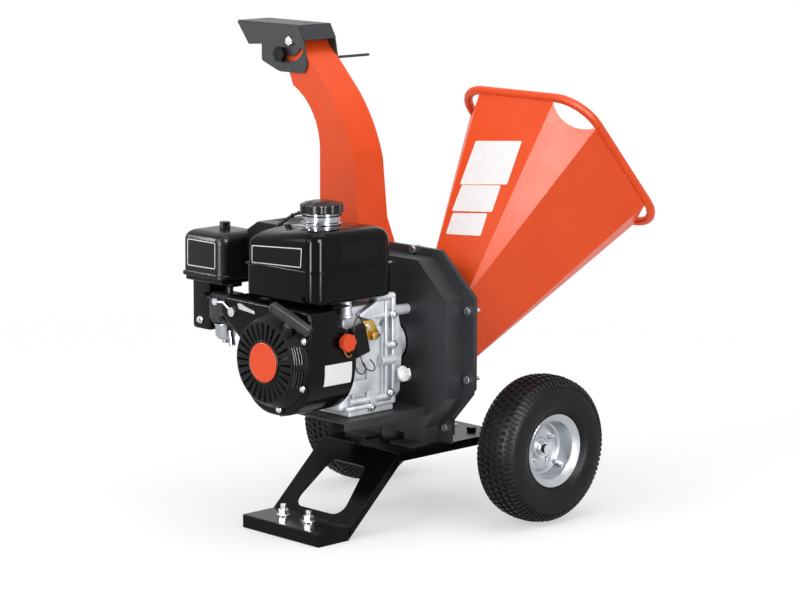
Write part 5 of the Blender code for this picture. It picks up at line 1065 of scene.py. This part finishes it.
def make_crankcase_details():
    """Cast bosses, webs and a blank pad on the crankcase, its bolts, and the oil sensor's bracket."""
    out = (1, 0, 0)
    bm = bmesh.new()
    add_bar(bm, (*PILLAR, 370), (*PILLAR, 404.4), 10.5, 9.5, 32, 0.8)
    add_bar(bm, (*PILLAR, 372), (*PILLAR, 378), 13, 13, 32, 1)
    add_slab(bm, rounded(GUSSET, 3), 8, facing_right(GUSSET_X), 1)
    for x, z, start, end, radius in BOSSES:
        add_bar(bm, (x, start, z), (x, end, z), radius, edge=0.8)
    for web in WEBS:
        add_block(bm, *web)
    add_slab(bm, rounded(PAD, 2), 1.3, facing_right(PAD_X), 0.4)
    finished("crankcase_bosses", bm, CAST)
    bm = bmesh.new()
    for place in CASE_BOLTS:
        add_screw(bm, [(0, 0), (7.5, 0), (7.5, 1), (0, 1.4)], place, out, 9, 4.5, 1)
    finished("crankcase_bolts", bm, ZINC)
    bm = bmesh.new()
    add_slab(bm, rounded(BRACKET, 2), 1.6, facing_right(BRACKET_X), 0.3)
    add_bar(bm, (58, BRACKET_Y, BRACKET_Z), (66.8, BRACKET_Y, BRACKET_Z), 4.5, sides=16)
    add_block(bm, (BRACKET_X, 108, 331), (76, 120, 344), 1)
    finished("sensor_bracket", bm, BRASS)
    bm = bmesh.new()
    head = [(0, 0), (4.6, 0), (4.6, 1.2), (3.6, 2.4), (0, 2.6)]
    add_turned(bm, head, (68, BRACKET_Y, BRACKET_Z), out, 24)
    finished("bracket_screw", bm, ZINC)


# Finishes of the solids that keep their own shape

COATS = {
    ORANGE: ("hopper", "hopper_rim", "chute"),
    GREY_COAT: ("housing_front", "housing_rear", "deflector_hood", "engine_plate", "muffler"),
    ENAMEL: (
        "base_plate", "front_leg", "foot", "axle_beam", "rocker_cover", "axle_bolt_left", "axle_bolt_right",
    ),
    BLACK_PLASTIC: (
        "hood_knob", "air_cleaner_base", "air_cleaner_knob", "spark_plug_cap", "choke_lever",
        "fuel_valve_lever", "oil_alert_unit", "flywheel_fan", "muffler_guard",
    ),
    RED_PLASTIC: ("recoil_cap", "switch_knob"),
    WHITE_PLASTIC: ("oil_dipstick",),
    ZINC: (
        "axle_nut_left", "axle_nut_right", "foot_bolt_left", "foot_bolt_right",
        *(f"flange_bolt_{i + 1}" for i in range(6)), "hood_pivot_bolt", "throttle_lever",
    ),
    CAST: ("crankcase", "side_cover", "cylinder_head"),
    DARK_CAST: ("carburettor",),
    CHROME: ("filler_neck", "fuel_bowl"),
    STEEL: ("rotor_disc", "chipper_knife_1", "chipper_knife_2", "bed_knife", "crankshaft"),
}
# How far sharp edges are eased, in millimetres, and the finishes whose sheets have rounder ones
EDGE = 0.4
ROUNDER = {GREY_COAT: 0.9, ENAMEL: 0.8, ORANGE: 0.6}
# How far from the middle, in metres, the axle's paint ends
PAINT_END = 0.2105


def dress_all():
    for coat, nodes in COATS.items():
        for node in nodes:
            dressed(node, coat, ROUNDER.get(coat, EDGE))


def bare_axle_ends():
    """The axle is painted as far as the wheels; the ends that stand in the hubs are bare plated steel."""
    mesh = bpy.data.objects["axle_beam_dressed"].data
    mesh.materials.append(ZINC)
    for face in mesh.polygons:
        if abs(face.center.x) > PAINT_END:
            face.material_index = len(mesh.materials) - 1


make_camera()
for wire in WIRES:
    make_wire(*wire)
make_studio()
dress_all()
bare_axle_ends()
for side, word in ((1, "right"), (-1, "left")):
    make_tyre(side, "tyre_" + word)
    make_rim(side, "wheel_rim_" + word)
make_starter_cover()
make_pull_handle()
make_fan_shroud()
make_tank()
make_air_cleaner_cover()
make_fuel_cap()
make_labels()
make_rating_label()
make_carburettor_fittings()
make_crankcase_details()
